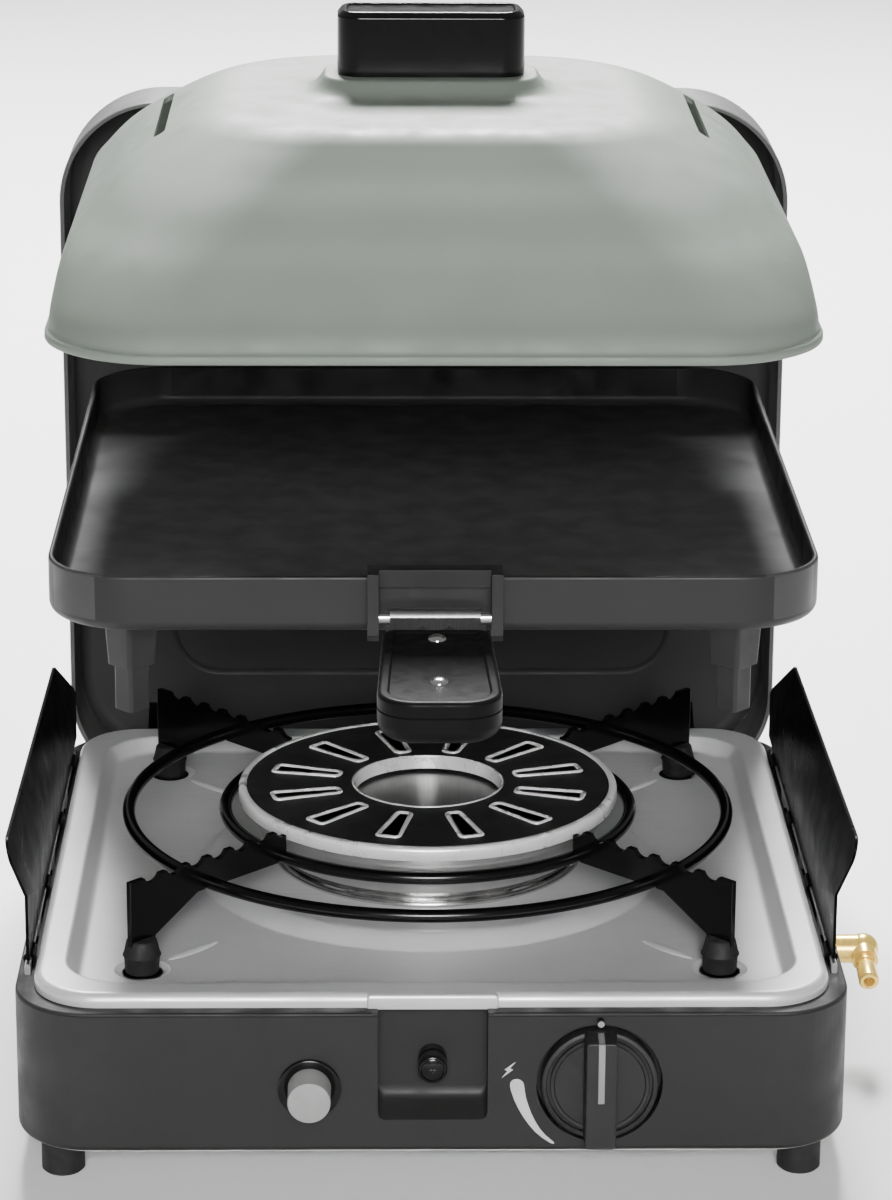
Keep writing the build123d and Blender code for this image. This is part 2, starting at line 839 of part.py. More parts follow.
# Gas valve: brass block with a nose against the back of the knob well
nose_y = front_y + well_depth + well_wall
block_y = nose_y + valve_nose
knob_back_y = front_y - knob_proud + knob_disc
spindle_end_y = knob_back_y - spindle_seat + spindle_length
rod_end_y = spindle_end_y + push_rod_length
with BuildPart() as gas_valve:
    with BuildSketch(across(nose_y)):
        with Locations((valve_x, valve_z)):
            Circle(valve_nose_radius)
    extrude(amount=-valve_nose)
    with BuildSketch(across(block_y)):
        with Locations((valve_x, valve_z)):
            Rectangle(valve_width, valve_height)
    extrude(amount=-valve_length)
    chamfer(gas_valve.faces().sort_by(Axis.Y)[-1].edges(), 1.5)
    with BuildSketch(across(nose_y)):
        with Locations((valve_x, valve_z)):
            Circle(spindle_radius + spindle_gap)
    extrude(amount=nose_y - spindle_end_y - knob_travel - hole_gap, mode=Mode.SUBTRACT)
    with BuildSketch(across(nose_y)):
        with Locations((valve_x, valve_z)):
            Circle(push_rod_radius + push_rod_gap)
    extrude(amount=nose_y - rod_end_y - knob_travel - hole_gap, mode=Mode.SUBTRACT)
save(gas_valve.part, "gas_valve")

# Push rod that the pressed spindle drives against the safety magnet
with BuildPart() as magnet_push_rod:
    with BuildSketch(across(spindle_end_y)):
        with Locations((valve_x, valve_z)):
            Circle(push_rod_radius)
    extrude(amount=-push_rod_length)
save(magnet_push_rod.part, "magnet_push_rod")

# Valve spindle
with BuildPart() as valve_spindle:
    with BuildSketch(across(knob_back_y - spindle_seat)):
        with Locations((valve_x, valve_z)):
            Circle(spindle_radius)
    extrude(amount=-spindle_length)
save(valve_spindle.part, "valve_spindle")

# Knob: round skirt with a groove and a bar grip across it
knob_face_y = front_y - knob_proud
grip_face_y = knob_face_y - grip_height
with BuildPart() as knob:
    with BuildSketch(across(knob_back_y)):
        with Locations((valve_x, valve_z)):
            Circle(knob_radius)
    extrude(amount=knob_disc)
    chamfer(knob.faces().sort_by(Axis.Y)[0].edges(), 0.8)
    with BuildSketch(across(knob_face_y)):
        with Locations((valve_x, valve_z)):
            Circle(knob_dish_radius + knob_groove)
            Circle(knob_dish_radius, mode=Mode.SUBTRACT)
    extrude(amount=-knob_groove_depth, mode=Mode.SUBTRACT)
    with BuildSketch(across(knob_face_y)):
        with Locations((valve_x, valve_z)):
            Circle(knob_dish_radius - knob_groove)
    extrude(amount=-knob_dish, mode=Mode.SUBTRACT)
    with BuildSketch(across(knob_face_y + knob_groove_depth)):
        with Locations((valve_x, valve_z)):
            SlotOverall(grip_length, grip_width, rotation=90)
    extrude(amount=grip_height + knob_groove_depth)
    fillet(knob.faces().sort_by(Axis.Y)[0].edges(), 1.6)
    with BuildSketch(across(grip_face_y)):
        with Locations((valve_x, valve_z + grip_length / 2)):
            Rectangle(pointer_width, pointer_length, align=hanging)
    extrude(amount=-pointer_inlay, mode=Mode.SUBTRACT)
    with BuildSketch(across(knob_back_y)):
        with Locations((valve_x, valve_z)):
            Circle(spindle_radius)
    extrude(amount=spindle_seat, mode=Mode.SUBTRACT)
save(knob.part, "knob")

# Pointer strip let into the grip
with BuildPart() as knob_pointer:
    with BuildSketch(across(grip_face_y + pointer_inlay)):
        with Locations((valve_x, valve_z + grip_length / 2 - 1.6)):
            Rectangle(pointer_width, pointer_length - 1.6, align=hanging)
    extrude(amount=pointer_inlay)
save(knob_pointer.part, "knob_pointer")

# Igniter: collar pressed into the front wall, button inside it, piezo unit behind
collar_end_y = front_y - button_proud + button_length + button_travel + hole_gap
with BuildPart() as igniter_collar:
    with BuildSketch(across(front_y)):
        with Locations((button_x, button_z)):
            Circle(collar_radius)
    extrude(amount=collar_flange)
    fillet(igniter_collar.faces().sort_by(Axis.Y)[0].edges(), collar_flange / 2)
    with BuildSketch(across(front_y)):
        with Locations((button_x, button_z)):
            Circle(collar_tube_radius)
    extrude(amount=front_y - collar_end_y)
    with BuildSketch(across(front_y - collar_flange)):
        with Locations((button_x, button_z)):
            Circle(button_radius + button_gap)
    extrude(amount=front_y - collar_flange - collar_end_y, mode=Mode.SUBTRACT)
save(igniter_collar.part, "igniter_collar")

with BuildPart() as igniter_button:
    with BuildSketch(across(front_y - button_proud)):
        with Locations((button_x, button_z)):
            Circle(button_radius)
    extrude(amount=-button_length)
    fillet(igniter_button.faces().sort_by(Axis.Y)[0].edges(), 1.2)
save(igniter_button.part, "igniter_button")

piezo_end_y = collar_end_y + piezo_length
with BuildPart() as piezo_igniter:
    with BuildSketch(across(collar_end_y)):
        with Locations((button_x, button_z)):
            Circle(collar_tube_radius)
    extrude(amount=-piezo_length)
    fillet(piezo_igniter.faces().sort_by(Axis.Y)[-1].edges(), 2)
save(piezo_igniter.part, "piezo_igniter")


def bent_pipe(points, radius, bend):
    with BuildPart() as pipe:
        with BuildLine() as route:
            FilletPolyline(*points, radius=bend)
        with BuildSketch(Plane(route.wires()[0] @ 0, z_dir=route.wires()[0] % 0)):
            Circle(radius)
        sweep()
    return pipe.part


# Feed pipe from the valve to the injector, and supply pipe from the inlet to the valve
valve_left = valve_x - valve_width / 2
valve_right = valve_x + valve_width / 2
injector_y = tube_mouth_y - injector_gap - injector_length
stub_inner_x = body_width / 2 - body_wall - inlet_inside
supply_x = stub_inner_x - 2 * pipe_bend
feed_pipe = bent_pipe(
    [(valve_left, pipe_y, valve_z), (0, pipe_y, valve_z), (0, injector_y, valve_z)], pipe_radius, pipe_bend
)
save(feed_pipe, "feed_pipe")
supply_pipe = bent_pipe(
    [
        (stub_inner_x, inlet_y, inlet_z),
        (supply_x, inlet_y, inlet_z),
        (supply_x, pipe_y, inlet_z),
        (valve_right, pipe_y, inlet_z),
    ],
    pipe_radius,
    pipe_bend,
)
save(supply_pipe, "supply_pipe")

# Injector: hex body with a tapered tip that points into the bell mouth
with BuildPart() as gas_injector:
    with BuildSketch(across(injector_y)):
        with Locations((0, valve_z)):
            RegularPolygon(injector_hex / 2, 6, major_radius=False)
    extrude(amount=-injector_length)
    with BuildSketch(across(injector_y + injector_length)):
        with Locations((0, valve_z)):
            Circle(injector_hex / 2 - 1)
    with BuildSketch(across(injector_y + injector_length + injector_tip)):
        with Locations((0, valve_z)):
            Circle(injector_hex / 4)
    loft()
save(gas_injector.part, "gas_injector")

# Thermocouple and its lead from the back of the valve, electrode and its wire from the piezo unit
probe_top_z = bowl_z + cap_web - probe_reach
valve_end_y = block_y + valve_length
with BuildPart() as thermocouple:
    add(
        bent_pipe(
            [
                (valve_x, valve_end_y, valve_z),
                (valve_x, valve_end_y + 30, valve_z),
                (probe_at[0], probe_at[1] - 20, valve_z),
                (probe_at[0], probe_at[1], valve_z),
                (probe_at[0], probe_at[1], platform_z - 2 * tube_flange),
            ],
            lead_radius,
            lead_bend,
        )
    )
    with BuildSketch(Plane.XY.offset(platform_z - 2 * tube_flange)):
        with Locations(probe_at):
            Circle(probe_radius)
    extrude(amount=probe_top_z - platform_z + 2 * tube_flange)
save(thermocouple.part, "thermocouple")

with BuildPart() as ignition_electrode:
    with BuildSketch(Plane.XY.offset(platform_z - 2 * tube_flange)):
        with Locations(electrode_at):
            Circle(electrode_radius)
    extrude(amount=2 * tube_flange + bowl_height / 2)
    with BuildSketch(Plane.XY.offset(platform_z + bowl_height / 2)):
        with Locations(electrode_at):
            Circle(electrode_radius / 2)
    extrude(amount=probe_top_z - platform_z - bowl_height / 2)
save(ignition_electrode.part, "ignition_electrode")

ignition_wire = bent_pipe(
    [
        (button_x, piezo_end_y, button_z),
        (button_x, electrode_at[1], button_z),
        (button_x, electrode_at[1], platform_z - 2 * tube_flange),
    ],
    lead_radius,
    lead_bend,
)
save(ignition_wire, "ignition_wire")

# Stud in the front recess, held by a cross-head screw
recess_back_y = front_y + recess_depth
stud_face_y = recess_back_y - stud_length
with BuildPart() as latch_stud:
    with BuildSketch(across(recess_back_y)):
        with Locations((0, stud_z)):
            Circle(stud_radius)
    extrude(amount=stud_length)
    fillet(latch_stud.faces().sort_by(Axis.Y)[0].edges(), 0.8)
    with BuildSketch(across(recess_back_y - stud_groove_back)):
        with Locations((0, stud_z)):
            Circle(stud_radius)
            Circle(stud_radius - stud_groove_depth, mode=Mode.SUBTRACT)
    extrude(amount=stud_groove, mode=Mode.SUBTRACT)
    with BuildSketch(across(recess_back_y)):
        with Locations((0, stud_z)):
            Circle(stud_screw_radius + wall_fit)
    extrude(amount=stud_length, mode=Mode.SUBTRACT)
    with BuildSketch(across(stud_face_y)):
        with Locations((0, stud_z)):
            Circle(stud_screw_head + wall_fit)
    extrude(amount=-stud_screw_thick, mode=Mode.SUBTRACT)
save(latch_stud.part, "latch_stud")

with BuildPart() as latch_screw:
    with BuildSketch(across(stud_face_y + stud_screw_thick)):
        with Locations((0, stud_z)):
            Circle(stud_screw_head)
    extrude(amount=stud_screw_thick)
    with BuildSketch(across(stud_face_y + stud_screw_thick)):
        with Locations((0, stud_z)):
            Circle(stud_screw_radius)
    extrude(amount=-(stud_length - stud_screw_thick + recess_wall + 1))
    with BuildSketch(across(stud_face_y)):
        with Locations((0, stud_z)):
            Rectangle(stud_screw_head * 1.3, 0.9)
            Rectangle(0.9, stud_screw_head * 1.3)
    extrude(amount=-stud_screw_thick / 2, mode=Mode.SUBTRACT)
save(latch_screw.part, "latch_screw")

# Inlet stub through the right wall, with a locknut inside
side_x = body_width / 2
stub_shoulder_x = side_x + inlet_shoulder
with BuildPart() as inlet_stub:
    with BuildSketch(Plane.YZ.offset(stub_inner_x)):
        with Locations((inlet_y, inlet_z)):
            Circle(inlet_radius)
    extrude(amount=stub_shoulder_x - stub_inner_x)
    with BuildSketch(Plane.YZ.offset(stub_shoulder_x)):
        with Locations((inlet_y, inlet_z)):
            Circle(inlet_spigot_radius)
    extrude(amount=inlet_spigot)
    with BuildSketch(Plane.YZ.offset(stub_inner_x)):
        with Locations((inlet_y, inlet_z)):
            Circle(inlet_bore)
    extrude(amount=stub_shoulder_x + inlet_spigot - stub_inner_x, mode=Mode.SUBTRACT)
save(inlet_stub.part, "inlet_stub")

with BuildPart() as inlet_locknut:
    with BuildSketch(Plane.YZ.offset(side_x - body_wall - locknut_thick)):
        with Locations((inlet_y, inlet_z)):
            RegularPolygon(locknut_flats / 2, 6, major_radius=False)
            Circle(inlet_radius + wall_fit, mode=Mode.SUBTRACT)
    extrude(amount=locknut_thick)
save(inlet_locknut.part, "inlet_locknut")

# Elbow that swivels on the stub's spigot, its nut and the hose nozzle
elbow_x = side_x + elbow_reach
droop = radians(nozzle_droop)
nozzle_dir = (0, -cos(droop), -sin(droop))
elbow_centre = (elbow_x, inlet_y, inlet_z)
arm_plane = Plane(origin=elbow_centre, x_dir=(1, 0, 0), z_dir=nozzle_dir)
socket_x = stub_shoulder_x + swivel_gap
with BuildPart() as elbow_body:
    with BuildSketch(Plane.YZ.offset(socket_x)):
        with Locations((inlet_y, inlet_z)):
            Circle(elbow_radius - 0.6)
    extrude(amount=elbow_x - socket_x)
    with Locations(elbow_centre):
        Sphere(elbow_radius)
    with BuildSketch(arm_plane):
        Circle(elbow_arm_radius)
    extrude(amount=elbow_arm)
    with BuildSketch(Plane.YZ.offset(socket_x)):
        with Locations((inlet_y, inlet_z)):
            Circle(inlet_spigot_radius + swivel_gap)
    extrude(amount=inlet_spigot + swivel_gap, mode=Mode.SUBTRACT)
    with BuildSketch(Plane.YZ.offset(socket_x)):
        with Locations((inlet_y, inlet_z)):
            Circle(inlet_bore)
    extrude(amount=elbow_x - socket_x, mode=Mode.SUBTRACT)
    with BuildSketch(arm_plane):
        Circle(nozzle_bore)
    extrude(amount=elbow_arm, mode=Mode.SUBTRACT)
save(elbow_body.part, "elbow_body")

with BuildPart() as elbow_nut:
    with BuildSketch(Plane.YZ.offset(socket_x)):
        with Locations((inlet_y, inlet_z)):
            RegularPolygon(elbow_nut_flats / 2, 6, major_radius=False)
            Circle(elbow_radius - 0.6, mode=Mode.SUBTRACT)
    extrude(amount=elbow_nut_length)
    chamfer(elbow_nut.edges().group_by(Axis.X)[-1], 0.4)
save(elbow_nut.part, "elbow_nut")

with BuildPart() as hose_nozzle:
    with BuildSketch(Plane(origin=elbow_centre, x_dir=nozzle_dir, z_dir=(1, 0, 0))):
        with BuildLine():
            collar_from = elbow_arm + nozzle_groove
            collar_to = collar_from + nozzle_collar
            land_from = collar_to + nozzle_groove
            Polyline(
                (elbow_arm, nozzle_bore),
                (elbow_arm, nozzle_neck_radius),
                (collar_from, nozzle_neck_radius),
                (collar_from, nozzle_radius),
                (collar_to, nozzle_radius),
                (collar_to, nozzle_neck_radius),
                (land_from, nozzle_neck_radius),
                (land_from, nozzle_radius),
                (nozzle_length - nozzle_taper, nozzle_radius),
                (nozzle_length, nozzle_neck_radius),
                (nozzle_length, nozzle_bore),
                (elbow_arm, nozzle_bore),
            )
        make_face()
    revolve(axis=Axis(elbow_centre, nozzle_dir))
save(hose_nozzle.part, "hose_nozzle")

# Wind shields and the hinge rods that carry them
shield_axis_z = body_top + shield_axis_rise
shield_low_z = shield_axis_z + shield_hem
knuckle_step = (shield_hinge_y - shield_front_y - 2 * shield_knuckle) / (shield_knuckles - 1)
knuckle_ys = [shield_front_y + shield_knuckle + k * knuckle_step for k in range(shield_knuckles)]
hanger_ys = [(a + b) / 2 for a, b in zip(knuckle_ys, knuckle_ys[1:])]
hanger_ys = [knuckle_ys[0] - shield_knuckle] + hanger_ys + [knuckle_ys[-1] + shield_knuckle]
flare = radians(shield_flare)
flare_run = (shield_top_z - shield_bend_z) * tan(flare)
half_sheet = shield_sheet / 2
mitre = half_sheet * tan(flare / 2)
shield_profile = (
    (-half_sheet, shield_low_z),
    (half_sheet, shield_low_z),
    (half_sheet, shield_bend_z - mitre),
    (flare_run + half_sheet * cos(flare), shield_top_z - half_sheet * sin(flare)),
    (flare_run - half_sheet * cos(flare), shield_top_z + half_sheet * sin(flare)),
    (-half_sheet, shield_bend_z + mitre),
)
for side, name in ((-1, "left"), (1, "right")):
    with BuildPart() as wind_shield:
        bend_x = side * shield_x
        with BuildSketch(Plane.XZ):
            Polygon(*[(side * (shield_x + x), z) for x, z in shield_profile], align=None)
        extrude(amount=body_depth, both=True)
        with BuildSketch(Plane.YZ) as shield_outline:
            Polygon(
                (shield_front_y, shield_low_z),
                (shield_front_y, shield_bend_z),
                (shield_tip_y, shield_top_z),
                (shield_back_y, shield_back_z),
                (shield_rear_y, shield_tail_z),
                (shield_rear_y, shield_low_z),
                align=None,
            )
            fillet(shield_outline.vertices().sort_by(Axis.Y)[-2:], shield_round)
        extrude(amount=body_width, both=True, mode=Mode.INTERSECT)
        with Locations([(bend_x, y, shield_axis_z) for y in knuckle_ys]):
            Cylinder(shield_knuckle_radius, shield_knuckle, rotation=(90, 0, 0))
        with Locations((bend_x, slot_y, shield_axis_z)):
            Cylinder(
                shield_rod_radius + shield_rod_gap, body_depth, rotation=(90, 0, 0), mode=Mode.SUBTRACT
            )
    save(wind_shield.part, f"wind_shield_{name}")
    with BuildPart() as shield_rod:
        rod_length = hanger_ys[-1] - hanger_ys[0] + shield_hanger
        with Locations((bend_x, (hanger_ys[0] + hanger_ys[-1]) / 2, shield_axis_z)):
            Cylinder(shield_rod_radius, rod_length, rotation=(90, 0, 0))
        with BuildSketch(Plane.XY.offset(cavity_top_z)):
            with Locations([(bend_x, y) for y in hanger_ys]):
                Rectangle(2 * shield_rod_radius, shield_hanger)
        extrude(amount=shield_axis_z - cavity_top_z)
        with BuildSketch(Plane.XY.offset(cavity_top_z - shield_foot)):
            with Locations([(bend_x - side * 0.9, y) for y in hanger_ys]):
                Rectangle(shield_foot_width, shield_hanger)
        extrude(amount=shield_foot)
    save(shield_rod.part, f"shield_rod_{name}")

# Rear cover: a pressed tray that stands upright, open towards the front
cover_middle_z = cover_bottom_z + cover_height / 2
cover_back_y = cover_rim_y + cover_depth
field_middle_z = (field_bottom_z + field_top_z) / 2
field_height = field_top_z - field_bottom_z
notch_low = hinge_z - hinge_bar_low - 1
with BuildPart() as cover_hollow:
    with BuildSketch(across(cover_rim_y)):
        with Locations((0, cover_middle_z)):
            rounded(cover_width, cover_height, cover_corner, cover_wall)
    extrude(amount=-(cover_depth - cover_wall))
    fillet(cover_hollow.faces().sort_by(Axis.Y)[-1].edges(), cover_edge - cover_wall)

with BuildPart() as cover_shell:
    with BuildSketch(across(cover_rim_y)):
        with Locations((0, cover_middle_z)):
            RectangleRounded(cover_width, cover_height, cover_corner)
    extrude(amount=-cover_depth)
    fillet(cover_shell.faces().sort_by(Axis.Y)[-1].edges(), cover_edge)
    add(cover_hollow.part, mode=Mode.SUBTRACT)
    # pressed field: proud at the back, sunk on the inside
    with BuildSketch(across(cover_back_y)):
        with Locations((0, field_middle_z)):
            RectangleRounded(field_width, field_height, field_corner)
    extrude(amount=-field_step, taper=30)
    with BuildSketch(across(cover_back_y - cover_wall)):
        with Locations((0, field_middle_z)):
            rounded(field_width, field_height, field_corner, cover_wall)
    extrude(amount=-field_step, taper=30, mode=Mode.SUBTRACT)
    # notches that the hinge arms pass through
    with BuildSketch(across(cover_rim_y)):
        with Locations((-hinge_x, notch_low), (hinge_x, notch_low)):
            Rectangle(arm_slot, hinge_bar + 2, align=standing)
    extrude(amount=-hinge_notch, mode=Mode.SUBTRACT)
save(cover_shell.part, "cover_shell")

# Hinge arms: an eye round the pin, a bar under the rim and a foot on the cover's back
bar_low_z = hinge_z - hinge_bar_low
bar_top_z = bar_low_z + hinge_bar
corner_x = cover_width / 2 - cover_corner
corner_z = cover_bottom_z + cover_corner
arm_edge_x = hinge_x + hinge_arm / 2
arm_floor_z = corner_z - sqrt((cover_corner - cover_wall) ** 2 - (arm_edge_x - corner_x) ** 2) + 0.3
foot_face_y = cover_back_y - cover_wall
foot_low_z = arm_floor_z + cover_edge
arm_turn_y = cover_rim_y + hinge_notch - 1
with BuildPart() as cover_hinge_arms:
    for side in (-1, 1):
        with BuildSketch(Plane.YZ.offset(side * hinge_x - hinge_arm / 2)):
            with Locations((hinge_y, hinge_z)):
                Circle(hinge_eye_radius)
            Polygon(
                (hinge_y - 1, bar_low_z),
                (arm_turn_y, bar_low_z),
                (arm_turn_y, arm_floor_z),
                (foot_face_y - cover_edge, arm_floor_z),
                (foot_face_y, foot_low_z),
                (foot_face_y, foot_low_z + hinge_foot_height),
                (arm_turn_y + 4, bar_top_z + 3),
                (arm_turn_y, bar_top_z),
                (hinge_y - 1, bar_top_z),
                align=None,
            )
            with Locations((hinge_y, hinge_z)):
                Circle(hinge_pin_radius + hinge_pin_gap, mode=Mode.SUBTRACT)
        extrude(amount=hinge_arm)
        with BuildSketch(across(foot_face_y)):
            with Locations((side * (hinge_x - hinge_foot / 2), foot_low_z)):
                Rectangle(hinge_foot + hinge_arm, hinge_foot_height, align=standing)
        extrude(amount=hinge_arm * 0.8)
save(cover_hinge_arms.part, "cover_hinge_arms")

# Brackets on the rear wall that hold the hinge pins
ear_gap = hinge_arm / 2 + hinge_arm_gap
ear_wall_y = rear_y - body_wall
with BuildPart() as hinge_brackets:
    for side in (-1, 1):
        for step in (-1, 1):
            inner = side * hinge_x + step * (ear_gap + hinge_ear / 2)
            with BuildSketch(Plane.YZ.offset(inner - hinge_ear / 2)):
                with Locations((hinge_y, hinge_z)):
                    Circle(ear_wall_y - hinge_y + 1)
                    Rectangle(ear_wall_y - hinge_y, 2 * hinge_ear_radius, align=(Align.MIN, Align.CENTER))
                with Locations((ear_wall_y, hinge_z)):
                    Rectangle(
                        20, 4 * hinge_ear_radius, align=(Align.MIN, Align.CENTER), mode=Mode.SUBTRACT
                    )
                with Locations((hinge_y, hinge_z)):
                    Circle(hinge_pin_radius, mode=Mode.SUBTRACT)
            extrude(amount=hinge_ear)
save(hinge_brackets.part, "hinge_brackets")

with BuildPart() as hinge_pins:
    with Locations((-hinge_x, hinge_y, hinge_z), (hinge_x, hinge_y, hinge_z)):
        Cylinder(hinge_pin_radius, 2 * (ear_gap + hinge_ear) + 1, rotation=(0, 90, 0))
save(hinge_pins.part, "hinge_pins")

# Catch: bracket and pin under the cover's top wall, and a plate that folds out to meet the stud
cover_inner_top_z = cover_bottom_z + cover_height - cover_wall
catch_z = cover_inner_top_z - catch_drop
catch_ear_x = catch_width / 2 + catch_pin_gap
with BuildPart() as catch_bracket:
    with BuildSketch(Plane.XY.offset(cover_inner_top_z - catch_sheet)):
        with Locations((0, catch_y + catch_base / 2 - catch_barrel)):
            Rectangle(2 * (catch_ear_x + catch_ear), catch_base)
    extrude(amount=catch_sheet)
    for side in (-1, 1):
        with BuildSketch(Plane.YZ.offset(side * (catch_ear_x + catch_ear / 2) - catch_ear / 2)):
            with Locations((catch_y, catch_z)):
                Circle(catch_barrel + 0.4)
                Rectangle(2 * catch_barrel + 0.8, catch_drop - catch_sheet, align=standing)
        extrude(amount=catch_ear)
    with Locations((0, catch_y, catch_z)):
        Cylinder(catch_pin_radius, 2 * (catch_ear_x + catch_ear) + 1, rotation=(0, 90, 0))
save(catch_bracket.part, "catch_bracket")

closed_stud_y = hinge_y + stud_z - hinge_z
hole_reach = catch_y - closed_stud_y
leaf_z = catch_z + catch_barrel - catch_sheet
with BuildPart() as cover_catch:
    with BuildSketch(Plane.XY.offset(leaf_z)):
        with Locations((0, catch_y)):
            Rectangle(catch_width, catch_reach, align=standing)
        with Locations((0, catch_y + hole_reach)):
            Circle(stud_radius + catch_hole_gap, mode=Mode.SUBTRACT)
    extrude(amount=catch_sheet)
    with Locations((0, catch_y, catch_z)):
        Cylinder(catch_barrel, catch_width, rotation=(0, 90, 0))
        Cylinder(catch_pin_radius + catch_pin_gap, catch_width, rotation=(0, 90, 0), mode=Mode.SUBTRACT)
save(cover_catch.part, "cover_catch")

# Trivet: two wire rings, four toothed arms on the diagonals and a barrel cap under each leg
for radius, name in ((outer_ring_radius, "outer"), (inner_ring_radius, "inner")):
    with BuildPart() as trivet_ring:
        with Locations((0, 0, ring_z)):
            Torus(radius, trivet_wire)
    save(trivet_ring.part, f"trivet_{name}_ring")

foot_floor_z = floor_z - dimple_depth
with BuildPart() as trivet_arms:
    for turn in (45, 135, 225, 315):
        reach = (cos(radians(turn)), sin(radians(turn)), 0)
        across_arm = (sin(radians(turn)), -cos(radians(turn)), 0)
        with BuildSketch(Plane(origin=(0, 0, 0), x_dir=reach, z_dir=across_arm)):
            Polygon(
                (arm_inner, arm_low_z),
                (arm_knee, arm_low_z),
                (arm_tip - arm_leg, arm_leg_top_z),
                (arm_tip - arm_leg, foot_floor_z + cap_foot_radius / 2),
                (arm_tip, foot_floor_z + cap_foot_radius / 2),
                (arm_tip, arm_top_z),
                (arm_inner, arm_top_z),
                align=None,
            )
            for k in range(tooth_count):
                with Locations((tooth_start + k * tooth_pitch, arm_top_z + tooth_radius - tooth_depth)):
                    Circle(tooth_radius, mode=Mode.SUBTRACT)
            for radius in (outer_ring_radius, inner_ring_radius):
                with Locations((radius, ring_z)):
                    Circle(trivet_wire + notch_gap, mode=Mode.SUBTRACT)
                    Rectangle(
                        2 * (trivet_wire + notch_gap),
                        ring_z,
                        align=hanging,
                        mode=Mode.SUBTRACT,
                    )
        extrude(amount=arm_sheet / 2, both=True)
save(trivet_arms.part, "trivet_arms")

with BuildPart() as trivet_feet:
    with BuildSketch(Plane.XY.offset(foot_floor_z)):
        with PolarLocations(leg_centre, 4, start_angle=45):
            Circle(cap_foot_radius)
    extrude(amount=arm_leg_top_z - foot_floor_z)
    fillet(trivet_feet.edges().group_by(Axis.Z)[-1], 2)
    fillet(trivet_feet.edges().group_by(Axis.Z)[0], 1)
    with BuildSketch(Plane.XY.offset(foot_floor_z + cap_foot_radius / 2)):
        with PolarLocations(leg_centre, 4, start_angle=45):
            Rectangle(arm_leg + 2 * cap_foot_fit, arm_sheet + 2 * cap_foot_fit)
    extrude(amount=arm_leg_top_z, mode=Mode.SUBTRACT)
save(trivet_feet.part, "trivet_feet")

# Grill pan: a shallow tray with round lower edges
with BuildPart() as pan_hollow:
    inner_width = pan_width - 2 * pan_wall
    inner_depth = pan_depth - 2 * pan_wall
    add(outline(inner_width, inner_depth, pan_corner - pan_wall, pan_bottom_z + pan_floor, pan_middle_y))
    extrude(amount=pan_rim_z - pan_bottom_z - pan_floor)
    fillet(round_bottom(pan_hollow), pan_edge)

with BuildPart() as pan_shell:
    add(outline(pan_width, pan_depth, pan_corner, pan_bottom_z, pan_middle_y))
    extrude(amount=pan_rim_z - pan_bottom_z)
    fillet(round_bottom(pan_shell), pan_edge)
    add(pan_hollow.part, mode=Mode.SUBTRACT)
    fillet(round_top(pan_shell), pan_wall / 3)
save(pan_shell.part, "pan_shell")

# Pan feet: tapered blocks set cornerwise, each with a square post
with BuildPart() as pan_feet:
    for x, y in four(pan_foot_x, pan_foot_y):
        with BuildSketch(Plane.XY.offset(pan_bottom_z)):
            with Locations((x, y)):
                RectangleRounded(pan_block, pan_block, 2, rotation=45)
        with BuildSketch(Plane.XY.offset(pan_bottom_z - pan_block_drop)):
            with Locations((x, y)):
                RectangleRounded(pan_block_low, pan_block_low, 2, rotation=45)
        loft()
        with BuildSketch(Plane.XY.offset(pan_bottom_z - pan_foot_drop)):
            with Locations((x, y)):
                RectangleRounded(pan_post, pan_post, 1.6, rotation=45)
        extrude(amount=pan_foot_drop - pan_block_drop)
save(pan_feet.part, "pan_feet")

# Handle bracket: a hoop on the pan's front wall that hooks over its rim
bracket_top_z = pan_rim_z + bracket_rise
bracket_low_z = pan_bottom_z - bracket_drop
bracket_height = bracket_top_z - bracket_low_z
hook_y = pan_front_y + pan_wall + bracket_gap + bracket_lip
with BuildPart() as handle_bracket:
    with BuildSketch(across(pan_front_y)):
        with Locations((0, bracket_low_z)):
            Rectangle(bracket_width, bracket_height, align=standing)
            Rectangle(bracket_opening, bracket_height - bracket_bar, align=standing, mode=Mode.SUBTRACT)
    extrude(amount=bracket_reach)
    chamfer(handle_bracket.edges().filter_by(Axis.X).group_by(Axis.Z)[0].group_by(Axis.Y)[0], 3)
    with BuildSketch(across(pan_front_y - bracket_bar_reach)):
        with Locations((0, bracket_top_z)):
            Rectangle(bracket_opening, bracket_bar * 1.01, align=hanging)
    extrude(amount=bracket_reach, mode=Mode.SUBTRACT)
    with BuildSketch(Plane.XY.offset(pan_rim_z)):
        with Locations((0, pan_front_y)):
            Rectangle(bracket_width, hook_y - pan_front_y, align=standing)
    extrude(amount=bracket_rise)
    with BuildSketch(Plane.XY.offset(pan_rim_z - bracket_lip_drop)):
        with Locations((0, hook_y)):
            Rectangle(bracket_width - 6, bracket_lip, align=hanging)
    extrude(amount=bracket_lip_drop)
    with Locations((0, pivot_y, pivot_z)):
        Cylinder(pivot_radius, bracket_width, rotation=(0, 90, 0), mode=Mode.SUBTRACT)
save(handle_bracket.part, "handle_bracket")

with BuildPart() as handle_pin:
    with Locations((0, pivot_y, pivot_z)):
        Cylinder(pivot_radius, bracket_width, rotation=(0, 90, 0))
save(handle_pin.part, "handle_pin")

